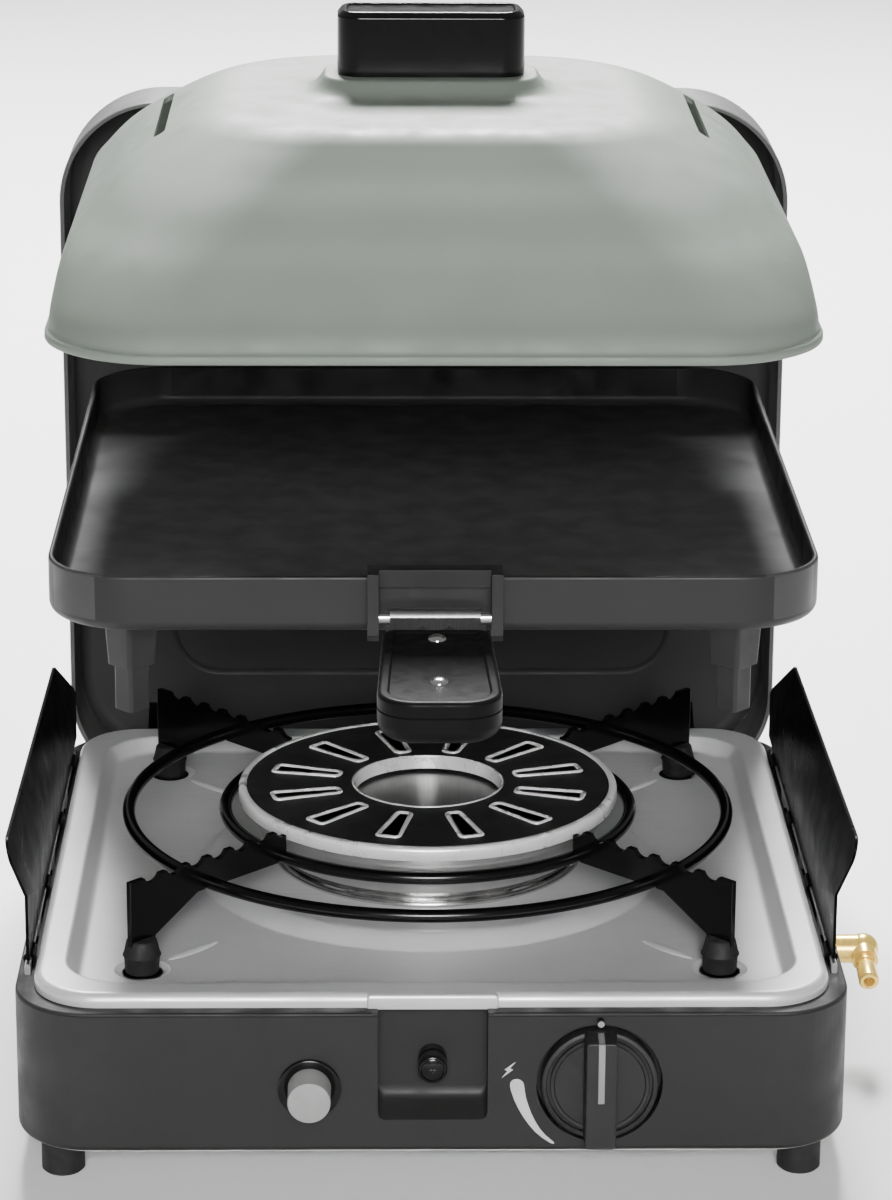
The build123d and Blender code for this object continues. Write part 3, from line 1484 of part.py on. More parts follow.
# Tang: a barrel round the pin, a flat strap with a pressed bump, and its end inside the grip
grip_back_y = pivot_y - grip_start
grip_end_y = grip_back_y - grip_run
tang_end_y = grip_back_y - tang_inside
rivet_ys = [pivot_y - place for place in rivet_places]
with BuildPart() as handle_tang:
    with BuildSketch(Plane.XY.offset(tang_top_z - tang_sheet)):
        with Locations((0, pivot_y)):
            Rectangle(barrel_width, grip_start - 8, align=hanging)
        with Locations((0, pivot_y - grip_start / 3)):
            Rectangle(tang_width, pivot_y - grip_start / 3 - tang_end_y, align=hanging)
        with Locations([(0, y) for y in rivet_ys]):
            Circle(rivet_shaft + wall_fit, mode=Mode.SUBTRACT)
    extrude(amount=tang_sheet)
    fillet(handle_tang.edges().filter_by(Axis.Z).group_by(Axis.Y)[0], 5)
    with BuildSketch(Plane.XY.offset(tang_top_z)):
        with Locations((0, pivot_y - grip_start / 2)):
            Circle(tang_bump_radius)
    extrude(amount=tang_bump, taper=55)
    with Locations((0, pivot_y, pivot_z)):
        Cylinder(barrel_radius, barrel_width, rotation=(0, 90, 0))
        Cylinder(pivot_radius + pivot_gap, barrel_width, rotation=(0, 90, 0), mode=Mode.SUBTRACT)
save(handle_tang.part, "handle_tang")


def grip_plan(z, inset=0.0):
    """Grip seen from above: narrow at the back, wide and round at the front."""
    with BuildSketch(Plane.XY.offset(z)) as plan:
        Polygon(
            (-grip_back_width / 2, grip_back_y),
            (grip_back_width / 2, grip_back_y),
            (grip_front_width / 2, grip_end_y),
            (-grip_front_width / 2, grip_end_y),
            align=None,
        )
        fillet(plan.vertices().group_by(Axis.Y)[0], grip_front_round)
        fillet(plan.vertices().group_by(Axis.Y)[-1], grip_back_round)
        if inset:
            offset(amount=-inset, mode=Mode.REPLACE)
    return plan.sketch


# Upper half of the grip, with a shallow dish for the rivets
with BuildPart() as handle_grip_upper:
    add(grip_plan(tang_top_z))
    extrude(amount=grip_upper)
    fillet(round_top(handle_grip_upper), grip_edge)
    add(grip_plan(tang_top_z + grip_upper - grip_dish, grip_dish_inset))
    extrude(amount=grip_dish, mode=Mode.SUBTRACT)
    with BuildSketch(Plane.XY.offset(tang_top_z)):
        with Locations([(0, y) for y in rivet_ys]):
            Circle(rivet_shaft + wall_fit)
    extrude(amount=grip_upper, mode=Mode.SUBTRACT)
save(handle_grip_upper.part, "handle_grip_upper")

# Lower half of the grip, with a pocket for the tang
with BuildPart() as handle_grip_lower:
    add(grip_plan(tang_top_z - grip_lower))
    extrude(amount=grip_lower)
    fillet(round_bottom(handle_grip_lower), grip_belly)
    with BuildSketch(Plane.XY.offset(tang_top_z - tang_sheet)):
        with Locations((0, tang_end_y - wall_fit)):
            Rectangle(tang_width + 2 * wall_fit, 2 * tang_inside, align=standing)
    extrude(amount=tang_sheet, mode=Mode.SUBTRACT)
    with BuildSketch(Plane.XY.offset(tang_top_z - grip_lower)):
        with Locations([(0, y) for y in rivet_ys]):
            Circle(rivet_shaft + wall_fit)
    extrude(amount=grip_lower, mode=Mode.SUBTRACT)
save(handle_grip_lower.part, "handle_grip_lower")

# Two domed rivets through the grip and the tang
rivet_seat_z = tang_top_z + grip_upper - grip_dish
dome_radius = (rivet_radius**2 + rivet_rise**2) / (2 * rivet_rise)
with BuildPart() as handle_rivets:
    for y in rivet_ys:
        with BuildSketch(Plane.XZ.offset(-y)):
            with BuildLine():
                Line((0, rivet_seat_z), (rivet_radius, rivet_seat_z))
                RadiusArc((rivet_radius, rivet_seat_z), (0, rivet_seat_z + rivet_rise), -dome_radius)
                Line((0, rivet_seat_z + rivet_rise), (0, rivet_seat_z))
            make_face()
        revolve(axis=Axis((0, y, 0), (0, 0, 1)))
    with BuildSketch(Plane.XY.offset(tang_top_z - grip_lower)):
        with Locations([(0, y) for y in rivet_ys]):
            Circle(rivet_shaft)
    extrude(amount=grip_lower + grip_upper - grip_dish)
save(handle_rivets.part, "handle_rivets")


def lid_form(inset, drop):
    """Domed solid through the lid's levels, drawn in by inset and lowered towards its top by drop."""
    sections = []
    for height, in_x, in_y, corner in lid_levels:
        z = lid_rim_z + height - drop * height / lid_height
        width = lid_width - 2 * (in_x + inset)
        depth = lid_depth - 2 * (in_y + inset)
        sections.append(outline(width, depth, corner - inset / 2, z, pan_middle_y))
    with BuildPart() as form:
        loft(sections)
    return form.part


# Domed lid: turned-out skirt, domed sides with two vent slots, raised boss under the grip
first_height, first_x, first_y, first_corner = lid_levels[0]
boss_foot_z = lid_top_z - lid_wall / 2
boss_foot = boss_corner + boss_flare / 2
with BuildPart() as lid_shell:
    add(lid_form(0, 0))
    first_z = lid_rim_z + first_height
    loft(
        [
            outline(lid_width, lid_depth, lid_corner, lid_rim_z, pan_middle_y),
            outline(lid_width - 2 * first_x, lid_depth - 2 * first_y, first_corner, first_z, pan_middle_y),
        ]
    )
    loft(
        [
            outline(boss_width + boss_flare, boss_depth + boss_flare, boss_foot, boss_foot_z),
            outline(boss_width, boss_depth, boss_corner, lid_top_z + boss_height),
        ]
    )
    add(lid_form(lid_wall, lid_wall), mode=Mode.SUBTRACT)
    inner_depth = lid_depth - 2 * (first_y + lid_wall)
    inner_width = lid_width - 2 * (first_x + lid_wall)
    add(outline(inner_width, inner_depth, first_corner - lid_wall / 2, lid_rim_z, pan_middle_y))
    extrude(amount=first_height, mode=Mode.SUBTRACT)
    with BuildSketch(Plane.XY.offset(lid_top_z - lid_slot_low)):
        with Locations((-lid_slot_x, 0), (lid_slot_x, 0)):
            SlotOverall(lid_slot_length, lid_slot_width, rotation=90)
    extrude(amount=lid_slot_low, mode=Mode.SUBTRACT)
    with BuildSketch(Plane.XY.offset(lid_top_z - 2 * lid_wall)):
        with Locations((-lid_screw_x, 0), (lid_screw_x, 0)):
            Circle(lid_screw_radius + wall_fit)
    extrude(amount=2 * lid_wall + boss_height, mode=Mode.SUBTRACT)
save(lid_shell.part, "lid_shell")

# Lid grip on the boss, and the two screws that hold it from inside
lid_grip_z = lid_top_z + boss_height
with BuildPart() as lid_grip:
    add(outline(lid_grip_width, lid_grip_depth, lid_grip_corner, lid_grip_z))
    extrude(amount=lid_grip_height)
    fillet(round_top(lid_grip), lid_grip_edge)
    dish = 2 * lid_grip_dish_inset
    lid_grip_top_z = lid_grip_z + lid_grip_height
    dish_z = lid_grip_top_z - lid_grip_dish
    add(outline(lid_grip_width - dish, lid_grip_depth - dish, lid_grip_corner / 2, dish_z))
    extrude(amount=lid_grip_dish, mode=Mode.SUBTRACT)
    with BuildSketch(Plane.XY.offset(lid_grip_z)):
        with Locations((-lid_screw_x, 0), (lid_screw_x, 0)):
            Circle(lid_screw_radius)
    extrude(amount=lid_screw_grip, mode=Mode.SUBTRACT)
save(lid_grip.part, "lid_grip")

lid_inner_z = lid_top_z - lid_wall
with BuildPart() as lid_screws:
    with BuildSketch(Plane.XY.offset(lid_inner_z - lid_screw_thick)):
        with Locations((-lid_screw_x, 0), (lid_screw_x, 0)):
            Circle(lid_screw_head)
    extrude(amount=lid_screw_thick)
    with BuildSketch(Plane.XY.offset(lid_inner_z)):
        with Locations((-lid_screw_x, 0), (lid_screw_x, 0)):
            Circle(lid_screw_radius)
    extrude(amount=lid_wall + boss_height + lid_screw_grip)
save(lid_screws.part, "lid_screws")
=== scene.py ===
import bpy
import bmesh
from math import cos, pi, radians, sin, sqrt
from mathutils import Matrix, Vector


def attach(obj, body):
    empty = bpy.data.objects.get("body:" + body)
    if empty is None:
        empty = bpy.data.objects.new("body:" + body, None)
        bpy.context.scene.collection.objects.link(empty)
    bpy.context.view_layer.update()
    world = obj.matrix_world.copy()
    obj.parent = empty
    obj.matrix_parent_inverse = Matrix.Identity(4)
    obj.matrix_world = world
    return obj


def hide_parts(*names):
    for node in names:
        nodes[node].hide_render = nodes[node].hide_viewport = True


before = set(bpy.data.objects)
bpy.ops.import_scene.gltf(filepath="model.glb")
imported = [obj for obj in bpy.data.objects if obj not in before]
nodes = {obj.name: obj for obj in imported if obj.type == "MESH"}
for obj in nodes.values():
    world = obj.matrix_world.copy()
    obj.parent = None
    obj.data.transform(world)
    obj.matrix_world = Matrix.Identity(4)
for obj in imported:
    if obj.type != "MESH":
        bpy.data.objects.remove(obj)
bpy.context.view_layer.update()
mm = 0.001
print("frame loaded,", len(nodes), "nodes")


# ---- mesh helpers: shapes are drawn in millimetres and scaled to metres when a piece is finished

def putIn(name, bm, body, finish, standsFor=(), angle=35, scaled=False):
    bmesh.ops.remove_doubles(bm, verts=bm.verts[:], dist=0.0005 * (mm if scaled else 1))
    bmesh.ops.recalc_face_normals(bm, faces=bm.faces[:])
    if not scaled:
        bmesh.ops.scale(bm, vec=(mm, mm, mm), verts=bm.verts[:])
    mesh = bpy.data.meshes.new(name)
    bm.to_mesh(mesh)
    bm.free()
    piece = bpy.data.objects.new(name, mesh)
    bpy.context.scene.collection.objects.link(piece)
    mesh.materials.append(finish)
    smoothOver(piece, angle)
    if standsFor:
        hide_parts(*standsFor)
    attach(piece, body)
    return piece


def smoothOver(piece, angle):
    stored = piece.data.attributes.get("custom_normal")
    if stored:
        piece.data.attributes.remove(stored)
    piece.data.shade_smooth()
    piece.data.set_sharp_from_angle(angle=radians(angle))


def levelFaces(piece):
    # big flat faces keep a flat shade beside their rounded edges
    even = piece.modifiers.new("Level", "WEIGHTED_NORMAL")
    even.keep_sharp = True
    even.weight = 90


def bakeShape(piece):
    graph = bpy.context.evaluated_depsgraph_get()
    shaped = bpy.data.meshes.new_from_object(piece.evaluated_get(graph))
    old = piece.data
    piece.modifiers.clear()
    piece.data = shaped
    bpy.data.meshes.remove(old)


def thicken(piece, wall):
    shell = piece.modifiers.new("Wall", "SOLIDIFY")
    shell.thickness = wall * mm
    shell.offset = -1
    shell.use_even_offset = True
    bakeShape(piece)


def carve(piece, bm, way="DIFFERENCE", angle=35):
    bmesh.ops.recalc_face_normals(bm, faces=bm.faces[:])
    bmesh.ops.scale(bm, vec=(mm, mm, mm), verts=bm.verts[:])
    mesh = bpy.data.meshes.new("cutter")
    bm.to_mesh(mesh)
    bm.free()
    tool = bpy.data.objects.new("cutter", mesh)
    bpy.context.scene.collection.objects.link(tool)
    cut = piece.modifiers.new("Cut", "BOOLEAN")
    cut.operation = way
    cut.solver = "EXACT"
    cut.object = tool
    bakeShape(piece)
    bpy.data.objects.remove(tool)
    bpy.data.meshes.remove(mesh)
    smoothOver(piece, angle)


def roundCorners(bm, corners, radius, steps):
    bmesh.ops.bevel(bm, geom=corners, offset=radius, offset_type="OFFSET", segments=steps,
                    profile=0.5, affect="VERTICES", clamp_overlap=True, material=-1)


def rimOf(bm, before, keep):
    # the rim edges of the plate just drawn; its face stays only where it closes a shape
    face = next(f for f in bm.faces if f not in before)
    rim = list(face.edges)
    if not keep:
        bmesh.ops.delete(bm, geom=[face], context="FACES_ONLY")
    return rim


def plateEdges(bm, width, depth, corner, z, middle=(0, 0), steps=15, keep=False):
    # one flat plate with round corners; gives its rim edges
    before = set(bm.faces)
    corners = bmesh.ops.create_grid(bm, x_segments=1, y_segments=1, size=0.5)["verts"]
    bmesh.ops.scale(bm, vec=(width, depth, 1), verts=corners)
    bmesh.ops.translate(bm, vec=(middle[0], middle[1], z), verts=corners)
    roundCorners(bm, corners, corner, steps)
    return rimOf(bm, before, keep)


def circleEdges(bm, radius, z, count=64):
    verts = bmesh.ops.create_circle(bm, cap_ends=False, radius=radius, segments=count)["verts"]
    bmesh.ops.translate(bm, vec=(0, 0, z), verts=verts)
    return list({e for v in verts for e in v.link_edges})


def bridge(bm, rims):
    for low, high in zip(rims, rims[1:]):
        bmesh.ops.bridge_loops(bm, edges=low + high)


def loftPlates(bm, rings, middle=(0, 0), steps=15, closeFirst=False, closeLast=False):
    rims = []
    for k, (width, depth, corner, z) in enumerate(rings):
        keep = (closeFirst and k == 0) or (closeLast and k == len(rings) - 1)
        rims.append(plateEdges(bm, width, depth, corner, z, middle, steps, keep))
    bridge(bm, rims)
    return rims


def lathe(bm, profile, middle=(0, 0), steps=96, closed=False):
    # profile is a list of (radius, height)
    points = [bm.verts.new((middle[0] + r, middle[1], z)) for r, z in profile]
    pairs = list(zip(points, points[1:]))
    if closed:
        pairs.append((points[-1], points[0]))
    edges = [bm.edges.new(pair) for pair in pairs]
    bmesh.ops.spin(bm, geom=points + edges, cent=(middle[0], middle[1], 0), axis=(0, 0, 1),
                   angle=2 * pi, steps=steps, use_merge=True)


def bow(centre, radius, start, end, count=6):
    # points on an arc, in degrees
    turns = [radians(start + (end - start) * k / count) for k in range(count + 1)]
    return [(centre[0] + radius * cos(a), centre[1] + radius * sin(a)) for a in turns]


def faceFront(bm):
    # drawn flat, then stood up: drawn Z points to the front, drawn Y points up
    bmesh.ops.rotate(bm, verts=bm.verts[:], cent=(0, 0, 0), matrix=Matrix.Rotation(pi / 2, 3, "X"))


def eased(name, node, body, finish, width=0.3, angle=30, least=40, level=True):
    # a copy of a CAD node with its edges broken where they turn by more than the least angle
    bm = bmesh.new()
    bm.from_mesh(nodes[node].data)
    bmesh.ops.remove_doubles(bm, verts=bm.verts[:], dist=0.00001)
    bmesh.ops.dissolve_limit(bm, angle_limit=radians(0.5), verts=bm.verts[:], edges=bm.edges[:],
                             use_dissolve_boundaries=False, delimit={"NORMAL"})
    if width:
        sharp = [e for e in bm.edges
                 if len(e.link_faces) == 2 and e.calc_face_angle(0) > radians(least)]
        bmesh.ops.bevel(bm, geom=sharp, offset=width * mm, offset_type="OFFSET", segments=2,
                        profile=0.5, affect="EDGES", clamp_overlap=True, material=-1)
    bmesh.ops.triangulate(bm, faces=[f for f in bm.faces if len(f.verts) > 4])
    piece = putIn(name, bm, body, finish, (node,), angle, scaled=True)
    if level:
        levelFaces(piece)
    return piece


# ---- finishes

def startFinish(name, colour, metal=0.0, rough=0.5, ior=1.5, sheen=0.5):
    finish = bpy.data.materials.new(name)
    finish.use_nodes = True
    tree = finish.node_tree
    shader = next(n for n in tree.nodes if n.type == "BSDF_PRINCIPLED")
    shader.inputs["Base Color"].default_value = (*colour, 1)
    shader.inputs["Metallic"].default_value = metal
    shader.inputs["Roughness"].default_value = rough
    shader.inputs["IOR"].default_value = ior
    shader.inputs["Specular IOR Level"].default_value = sheen
    return finish, tree, shader


def pattern(tree, size, stretch=(1, 1, 1), detail=3.0):
    # size is how big the pattern's grains are, in millimetres
    coords = tree.nodes.new("ShaderNodeTexCoord")
    place = tree.nodes.new("ShaderNodeMapping")
    place.inputs["Scale"].default_value = [s / (size * mm) for s in stretch]
    tree.links.new(coords.outputs["Object"], place.inputs["Vector"])
    grain = tree.nodes.new("ShaderNodeTexNoise")
    tree.links.new(place.outputs["Vector"], grain.inputs["Vector"])
    grain.inputs["Scale"].default_value = 1.0
    grain.inputs["Detail"].default_value = detail
    return grain.outputs["Fac"]


def spread(tree, value, low, high, fromLow=0.35, fromHigh=0.65):
    fit = tree.nodes.new("ShaderNodeMapRange")
    fit.inputs["From Min"].default_value = fromLow
    fit.inputs["From Max"].default_value = fromHigh
    fit.inputs["To Min"].default_value = low
    fit.inputs["To Max"].default_value = high
    tree.links.new(value, fit.inputs["Value"])
    return fit.outputs["Result"]


def tint(tree, value, first, second):
    mix = tree.nodes.new("ShaderNodeMix")
    mix.data_type = "RGBA"
    colours = [s for s in mix.inputs if s.type == "RGBA"]
    colours[0].default_value = (*first, 1)
    colours[1].default_value = (*second, 1)
    tree.links.new(value, mix.inputs["Factor"])
    return next(s for s in mix.outputs if s.type == "RGBA")


def relief(tree, shader, value, depth):
    # depth in millimetres
    bump = tree.nodes.new("ShaderNodeBump")
    bump.inputs["Strength"].default_value = 1.0
    bump.inputs["Distance"].default_value = depth * mm
    tree.links.new(value, bump.inputs["Height"])
    if shader.inputs["Normal"].is_linked:
        tree.links.new(shader.inputs["Normal"].links[0].from_socket, bump.inputs["Normal"])
    tree.links.new(bump.outputs["Normal"], shader.inputs["Normal"])


def scaledColour(colour, by):
    return tuple(min(1.0, c * by) for c in colour)


def clouded(tree, cloud, colour, vary):
    # the colour, a little darker and lighter from place to place
    dark, light = scaledColour(colour, 1 - vary), scaledColour(colour, 1 + vary)
    return tint(tree, spread(tree, cloud, 0, 1), dark, light)


def roughness(tree, shader, value, least, most):
    tree.links.new(spread(tree, value, least, most), shader.inputs["Roughness"])


def paintFinish(name, rough=0.4, vary=0.12, grain=0.5, depth=0.02, peel=0.0, specks=0.0,
                ior=1.4, sheen=0.5):
    colour = colours[name]
    finish, tree, shader = startFinish(name, colour, rough=rough, ior=ior, sheen=sheen)
    cloud = pattern(tree, 38, detail=4)
    fine = pattern(tree, grain, detail=2)
    mottled = clouded(tree, cloud, colour, vary)
    if specks:
        dots = tree.nodes.new("ShaderNodeMix")
        dots.data_type = "RGBA"
        sockets = [s for s in dots.inputs if s.type == "RGBA"]
        sockets[1].default_value = (*[min(1, c + specks) for c in colour], 1)
        tree.links.new(mottled, sockets[0])
        tree.links.new(spread(tree, fine, 0, 1, 0.62, 0.74), dots.inputs["Factor"])
        mottled = next(s for s in dots.outputs if s.type == "RGBA")
    tree.links.new(mottled, shader.inputs["Base Color"])
    roughness(tree, shader, pattern(tree, 14, detail=5), rough * 0.85, rough * 1.15)
    relief(tree, shader, fine, depth)
    if peel:
        relief(tree, shader, pattern(tree, 3.2, detail=1), peel)
    return finish


def brushedFinish(name, rough=0.32, along="X", depth=0.004, vary=0.06, metal=1.0):
    colour = colours[name]
    finish, tree, shader = startFinish(name, colour, metal, rough)
    stretch = {"X": (0.02, 1, 1), "Y": (1, 0.02, 1), "Z": (1, 1, 0.02)}[along]
    lines = pattern(tree, 0.55, stretch, detail=6)
    cloud = pattern(tree, 60, detail=3)
    tree.links.new(clouded(tree, cloud, colour, vary), shader.inputs["Base Color"])
    roughness(tree, shader, lines, rough * 0.8, rough * 1.25)
    relief(tree, shader, lines, depth)
    return finish


def turnedFinish(name, rough=0.12, centre=(0, 0, 0), axis="Z", pitch=0.35, depth=0.0015,
                 vary=0.05, metal=1.0):
    # rings left by the lathe or the spinning tool
    colour = colours[name]
    finish, tree, shader = startFinish(name, colour, metal, rough)
    coords = tree.nodes.new("ShaderNodeTexCoord")
    place = tree.nodes.new("ShaderNodeMapping")
    place.inputs["Location"].default_value = [-c * mm for c in centre]
    tree.links.new(coords.outputs["Object"], place.inputs["Vector"])
    rings = tree.nodes.new("ShaderNodeTexWave")
    rings.wave_type = "RINGS"
    rings.rings_direction = axis
    rings.inputs["Scale"].default_value = 0.314 / (pitch * mm)
    rings.inputs["Distortion"].default_value = 1.5
    rings.inputs["Detail"].default_value = 2.0
    rings.inputs["Detail Scale"].default_value = 1.0
    tree.links.new(place.outputs["Vector"], rings.inputs["Vector"])
    cloud = pattern(tree, 9, detail=4)
    tree.links.new(clouded(tree, cloud, colour, vary), shader.inputs["Base Color"])
    roughness(tree, shader, cloud, rough * 0.8, rough * 1.4)
    if depth:
        relief(tree, shader, rings.outputs["Fac"], depth)
    return finish


def plasticFinish(name, rough=0.42, grain=0.35, depth=0.03, vary=0.08, ior=1.4, sheen=0.5):
    colour = colours[name]
    finish, tree, shader = startFinish(name, colour, rough=rough, ior=ior, sheen=sheen)
    fine = pattern(tree, grain, detail=2)
    cloud = pattern(tree, 16, detail=3)
    tree.links.new(clouded(tree, cloud, colour, vary), shader.inputs["Base Color"])
    roughness(tree, shader, pattern(tree, 5, detail=4), rough * 0.85, rough * 1.15)
    relief(tree, shader, fine, depth)
    return finish


colours = {
    "stoveEnamel": (0.0115, 0.0114, 0.0112),
    "coverEnamel": (0.100, 0.100, 0.100),
    "coverInside": (0.030, 0.030, 0.030),
    "glossEnamel": (0.0015, 0.0015, 0.0015),
    "shieldEnamel": (0.0016, 0.0016, 0.0016),
    "panCoat": (0.032, 0.032, 0.032),
    "panOuter": (0.0075, 0.0075, 0.0074),
    "lidPaint": (0.128, 0.147, 0.126),
    "discPaint": (0.013, 0.013, 0.013),
    "topSteel": (0.44, 0.44, 0.446),
    "dishSteel": (0.13, 0.13, 0.13),
    "zincPlate": (0.40, 0.40, 0.39),
    "tangSteel": (0.22, 0.22, 0.22),
    "polishedSteel": (0.62, 0.615, 0.61),
    "satinSteel": (0.66, 0.66, 0.66),
    "brassTurned": (0.80, 0.56, 0.13),
    "alloyCast": (0.45, 0.45, 0.45),
    "copperDrawn": (0.80, 0.42, 0.26),
    "footRubber": (0.003, 0.003, 0.003),
    "knobPlastic": (0.0105, 0.0105, 0.0105),
    "gripPlastic": (0.004, 0.004, 0.004),
    "glossBlack": (0.003, 0.003, 0.003),
    "palePlastic": (0.19, 0.19, 0.188),
    "ivoryPlastic": (0.42, 0.38, 0.28),
    "glazedWhite": (0.72, 0.70, 0.64),
    "wireSleeve": (0.26, 0.012, 0.01),
    "inkPrint": (0.36, 0.36, 0.36),
}
stoveEnamel = paintFinish("stoveEnamel", rough=0.58, vary=0.05, grain=0.45, depth=0.012, ior=1.3)
coverEnamel = paintFinish("coverEnamel", rough=0.45, vary=0.06, grain=0.45, depth=0.01, ior=1.2)
coverInside = paintFinish("coverInside", rough=0.45, vary=0.06, grain=0.45, depth=0.01, ior=1.2)
glossEnamel = paintFinish("glossEnamel", rough=0.2, vary=0.2, grain=1.4, depth=0.006, peel=0.02,
                          sheen=0.3)
shieldEnamel = paintFinish("shieldEnamel", rough=0.32, vary=0.2, grain=1.0, depth=0.006,
                           ior=1.12, sheen=0.25)
panCoat = paintFinish("panCoat", vary=0.08, grain=0.4, depth=0.015, specks=0.008, ior=1.25)
panOuter = paintFinish("panOuter", rough=0.5, vary=0.05, depth=0.012, ior=1.35)
lidPaint = paintFinish("lidPaint", rough=0.55, vary=0.025, grain=0.6, depth=0.006, peel=0.012,
                       ior=1.3)
discPaint = paintFinish("discPaint", rough=0.42, grain=0.4, ior=1.3)
topSteel = brushedFinish("topSteel", rough=0.4, metal=0.4, depth=0.002)
dishSteel = paintFinish("dishSteel", rough=0.6, vary=0.04, depth=0.006, ior=1.25)
zincPlate = brushedFinish("zincPlate", rough=0.36, along="Y", depth=0.003, vary=0.1)
tangSteel = brushedFinish("tangSteel", rough=0.38, along="Y", depth=0.003)
polishedSteel = turnedFinish("polishedSteel", rough=0.15, depth=0)
satinSteel = turnedFinish("satinSteel", rough=0.3, depth=0, vary=0.02, metal=0.4)
brassTurned = turnedFinish("brassTurned", rough=0.22, centre=(179.5, -25, 42.5), axis="X",
                           pitch=0.5, metal=0.65)
alloyCast = paintFinish("alloyCast", rough=0.5, vary=0.08, grain=0.7, depth=0.04)
copperDrawn = brushedFinish("copperDrawn", rough=0.3, along="Z")
footRubber = plasticFinish("footRubber", rough=0.75, grain=0.6, depth=0.06)
knobPlastic = plasticFinish("knobPlastic", rough=0.5, grain=0.3, depth=0.02, ior=1.35)
gripPlastic = plasticFinish("gripPlastic", grain=0.3, depth=0.012, ior=1.18, sheen=0.25)
glossBlack = plasticFinish("glossBlack", rough=0.16, grain=2.5, depth=0.004, sheen=0.4)
palePlastic = plasticFinish("palePlastic", rough=0.5, grain=0.3, depth=0.015)
ivoryPlastic = plasticFinish("ivoryPlastic", rough=0.5)
glazedWhite = plasticFinish("glazedWhite", rough=0.2, grain=1.5, depth=0.01)
wireSleeve = plasticFinish("wireSleeve", rough=0.5)
inkPrint = plasticFinish("inkPrint", rough=0.5, grain=0.2, depth=0.005)
print("finishes made")


# ---- pressed steel top

steelTop = {
    "rimFoot": 71.9, "rimTop": 77.3, "roll": 3.4, "width": 305.6, "depth": 307.2, "corner": 26,
    "basinWidth": 281, "basinDepth": 282, "basinCorner": 24, "floor": 70.4, "slope": 4,
    "platform": 76.7, "platformRadius": 88.5, "platformSlope": 7.0, "throat": 14.3, "sheet": 1.0,
    "shoulder": ((-1.6, 0), (-0.7, -0.15), (-0.1, -0.7), (0.3, -1.6)),
    "dimpleAt": 112.2, "dimpleRadius": 10.9, "dimpleDepth": 1.5,
    "lipWidth": 50, "lipFront": 154.6, "lipBack": 150.6, "lipLow": 71.3, "lipTop": 77.4,
    "beadFrom": 119, "beadTo": 145, "beadWidth": 5, "beadRise": 1.2,
}


def makeSteelTop(s):
    bm = bmesh.new()
    rings = [(s["width"], s["depth"], s["corner"], s["rimFoot"])]
    for x, z in bow((0, s["rimTop"] - s["roll"]), s["roll"], 0, 90, 6):
        inset = s["roll"] - x
        rings.append((s["width"] - 2 * inset, s["depth"] - 2 * inset, s["corner"] - inset, z))
    # the basin: a round shoulder under the rim, then a fillet at the foot of its sloping wall
    slope, floor = s["slope"], s["floor"]
    basin = [(inset, s["rimTop"] + z) for inset, z in s["shoulder"]]
    basin += [(slope - 0.9, floor + 1.3), (slope - 0.3, floor + 0.5), (slope + 0.7, floor + 0.08),
              (slope + 2, floor)]
    rings += [(s["basinWidth"] - 2 * inset, s["basinDepth"] - 2 * inset, s["basinCorner"] - inset, z)
              for inset, z in basin]
    rims = loftPlates(bm, rings)
    # the burner's platform, from its foot up to the hole round the throat
    edge, top = s["platformRadius"], s["platform"]
    foot = edge + s["platformSlope"]
    rounds = [(foot + 0.6, floor), (foot + 0.1, floor + 0.08), (foot - 0.5, floor + 0.45),
              (edge + 0.9, top - 0.8), (edge, top - 0.3), (edge - 1.4, top), (s["throat"], top)]
    bridge(bm, [rims[-1]] + [circleEdges(bm, r, z) for r, z in rounds])
    piece = putIn("steelTopPressing", bm, "base", topSteel, ("steel_top",))
    thicken(piece, s["sheet"])
    # dimples for the trivet's feet, and a bead from each towards the burner
    dents = bmesh.new()
    for turn in range(4):
        spot = bmesh.ops.create_uvsphere(dents, u_segments=40, v_segments=20, radius=1)["verts"]
        bmesh.ops.scale(dents, vec=(s["dimpleRadius"], s["dimpleRadius"], s["dimpleDepth"]), verts=spot)
        bmesh.ops.translate(dents, vec=(s["dimpleAt"], s["dimpleAt"], s["floor"]), verts=spot)
        bmesh.ops.rotate(dents, verts=spot, cent=(0, 0, 0),
                         matrix=Matrix.Rotation(turn * pi / 2, 3, "Z"))
    carve(piece, dents)
    beads = bmesh.new()
    middle, half = (s["beadFrom"] + s["beadTo"]) / 2, (s["beadTo"] - s["beadFrom"]) / 2
    for turn in range(4):
        spot = bmesh.ops.create_uvsphere(beads, u_segments=32, v_segments=16, radius=1)["verts"]
        bmesh.ops.scale(beads, vec=(half, s["beadWidth"] / 2, s["beadRise"]), verts=spot)
        bmesh.ops.translate(beads, vec=(middle, 0, floor - 0.1), verts=spot)
        bmesh.ops.rotate(beads, verts=spot, cent=(0, 0, 0),
                         matrix=Matrix.Rotation(pi / 4 + turn * pi / 2, 3, "Z"))
    carve(piece, beads, "UNION")
    levelFaces(piece)
    # flat lip over the front recess
    bm = bmesh.new()
    deep = s["lipFront"] - s["lipBack"]
    low, high = s["lipLow"], s["lipTop"]
    loftPlates(bm, [(s["lipWidth"] - 2 * g, deep - 2 * g, 1.0, z) for g, z in
                    ((0.4, low), (0, low + 0.4), (0, high - 1.6), (0.35, high - 0.7), (1.0, high))],
               (0, -s["lipBack"] - deep / 2), 6, True, True)
    levelFaces(putIn("rimLip", bm, "base", topSteel, angle=50))


makeSteelTop(steelTop)
print("steel top made")


# ---- burner

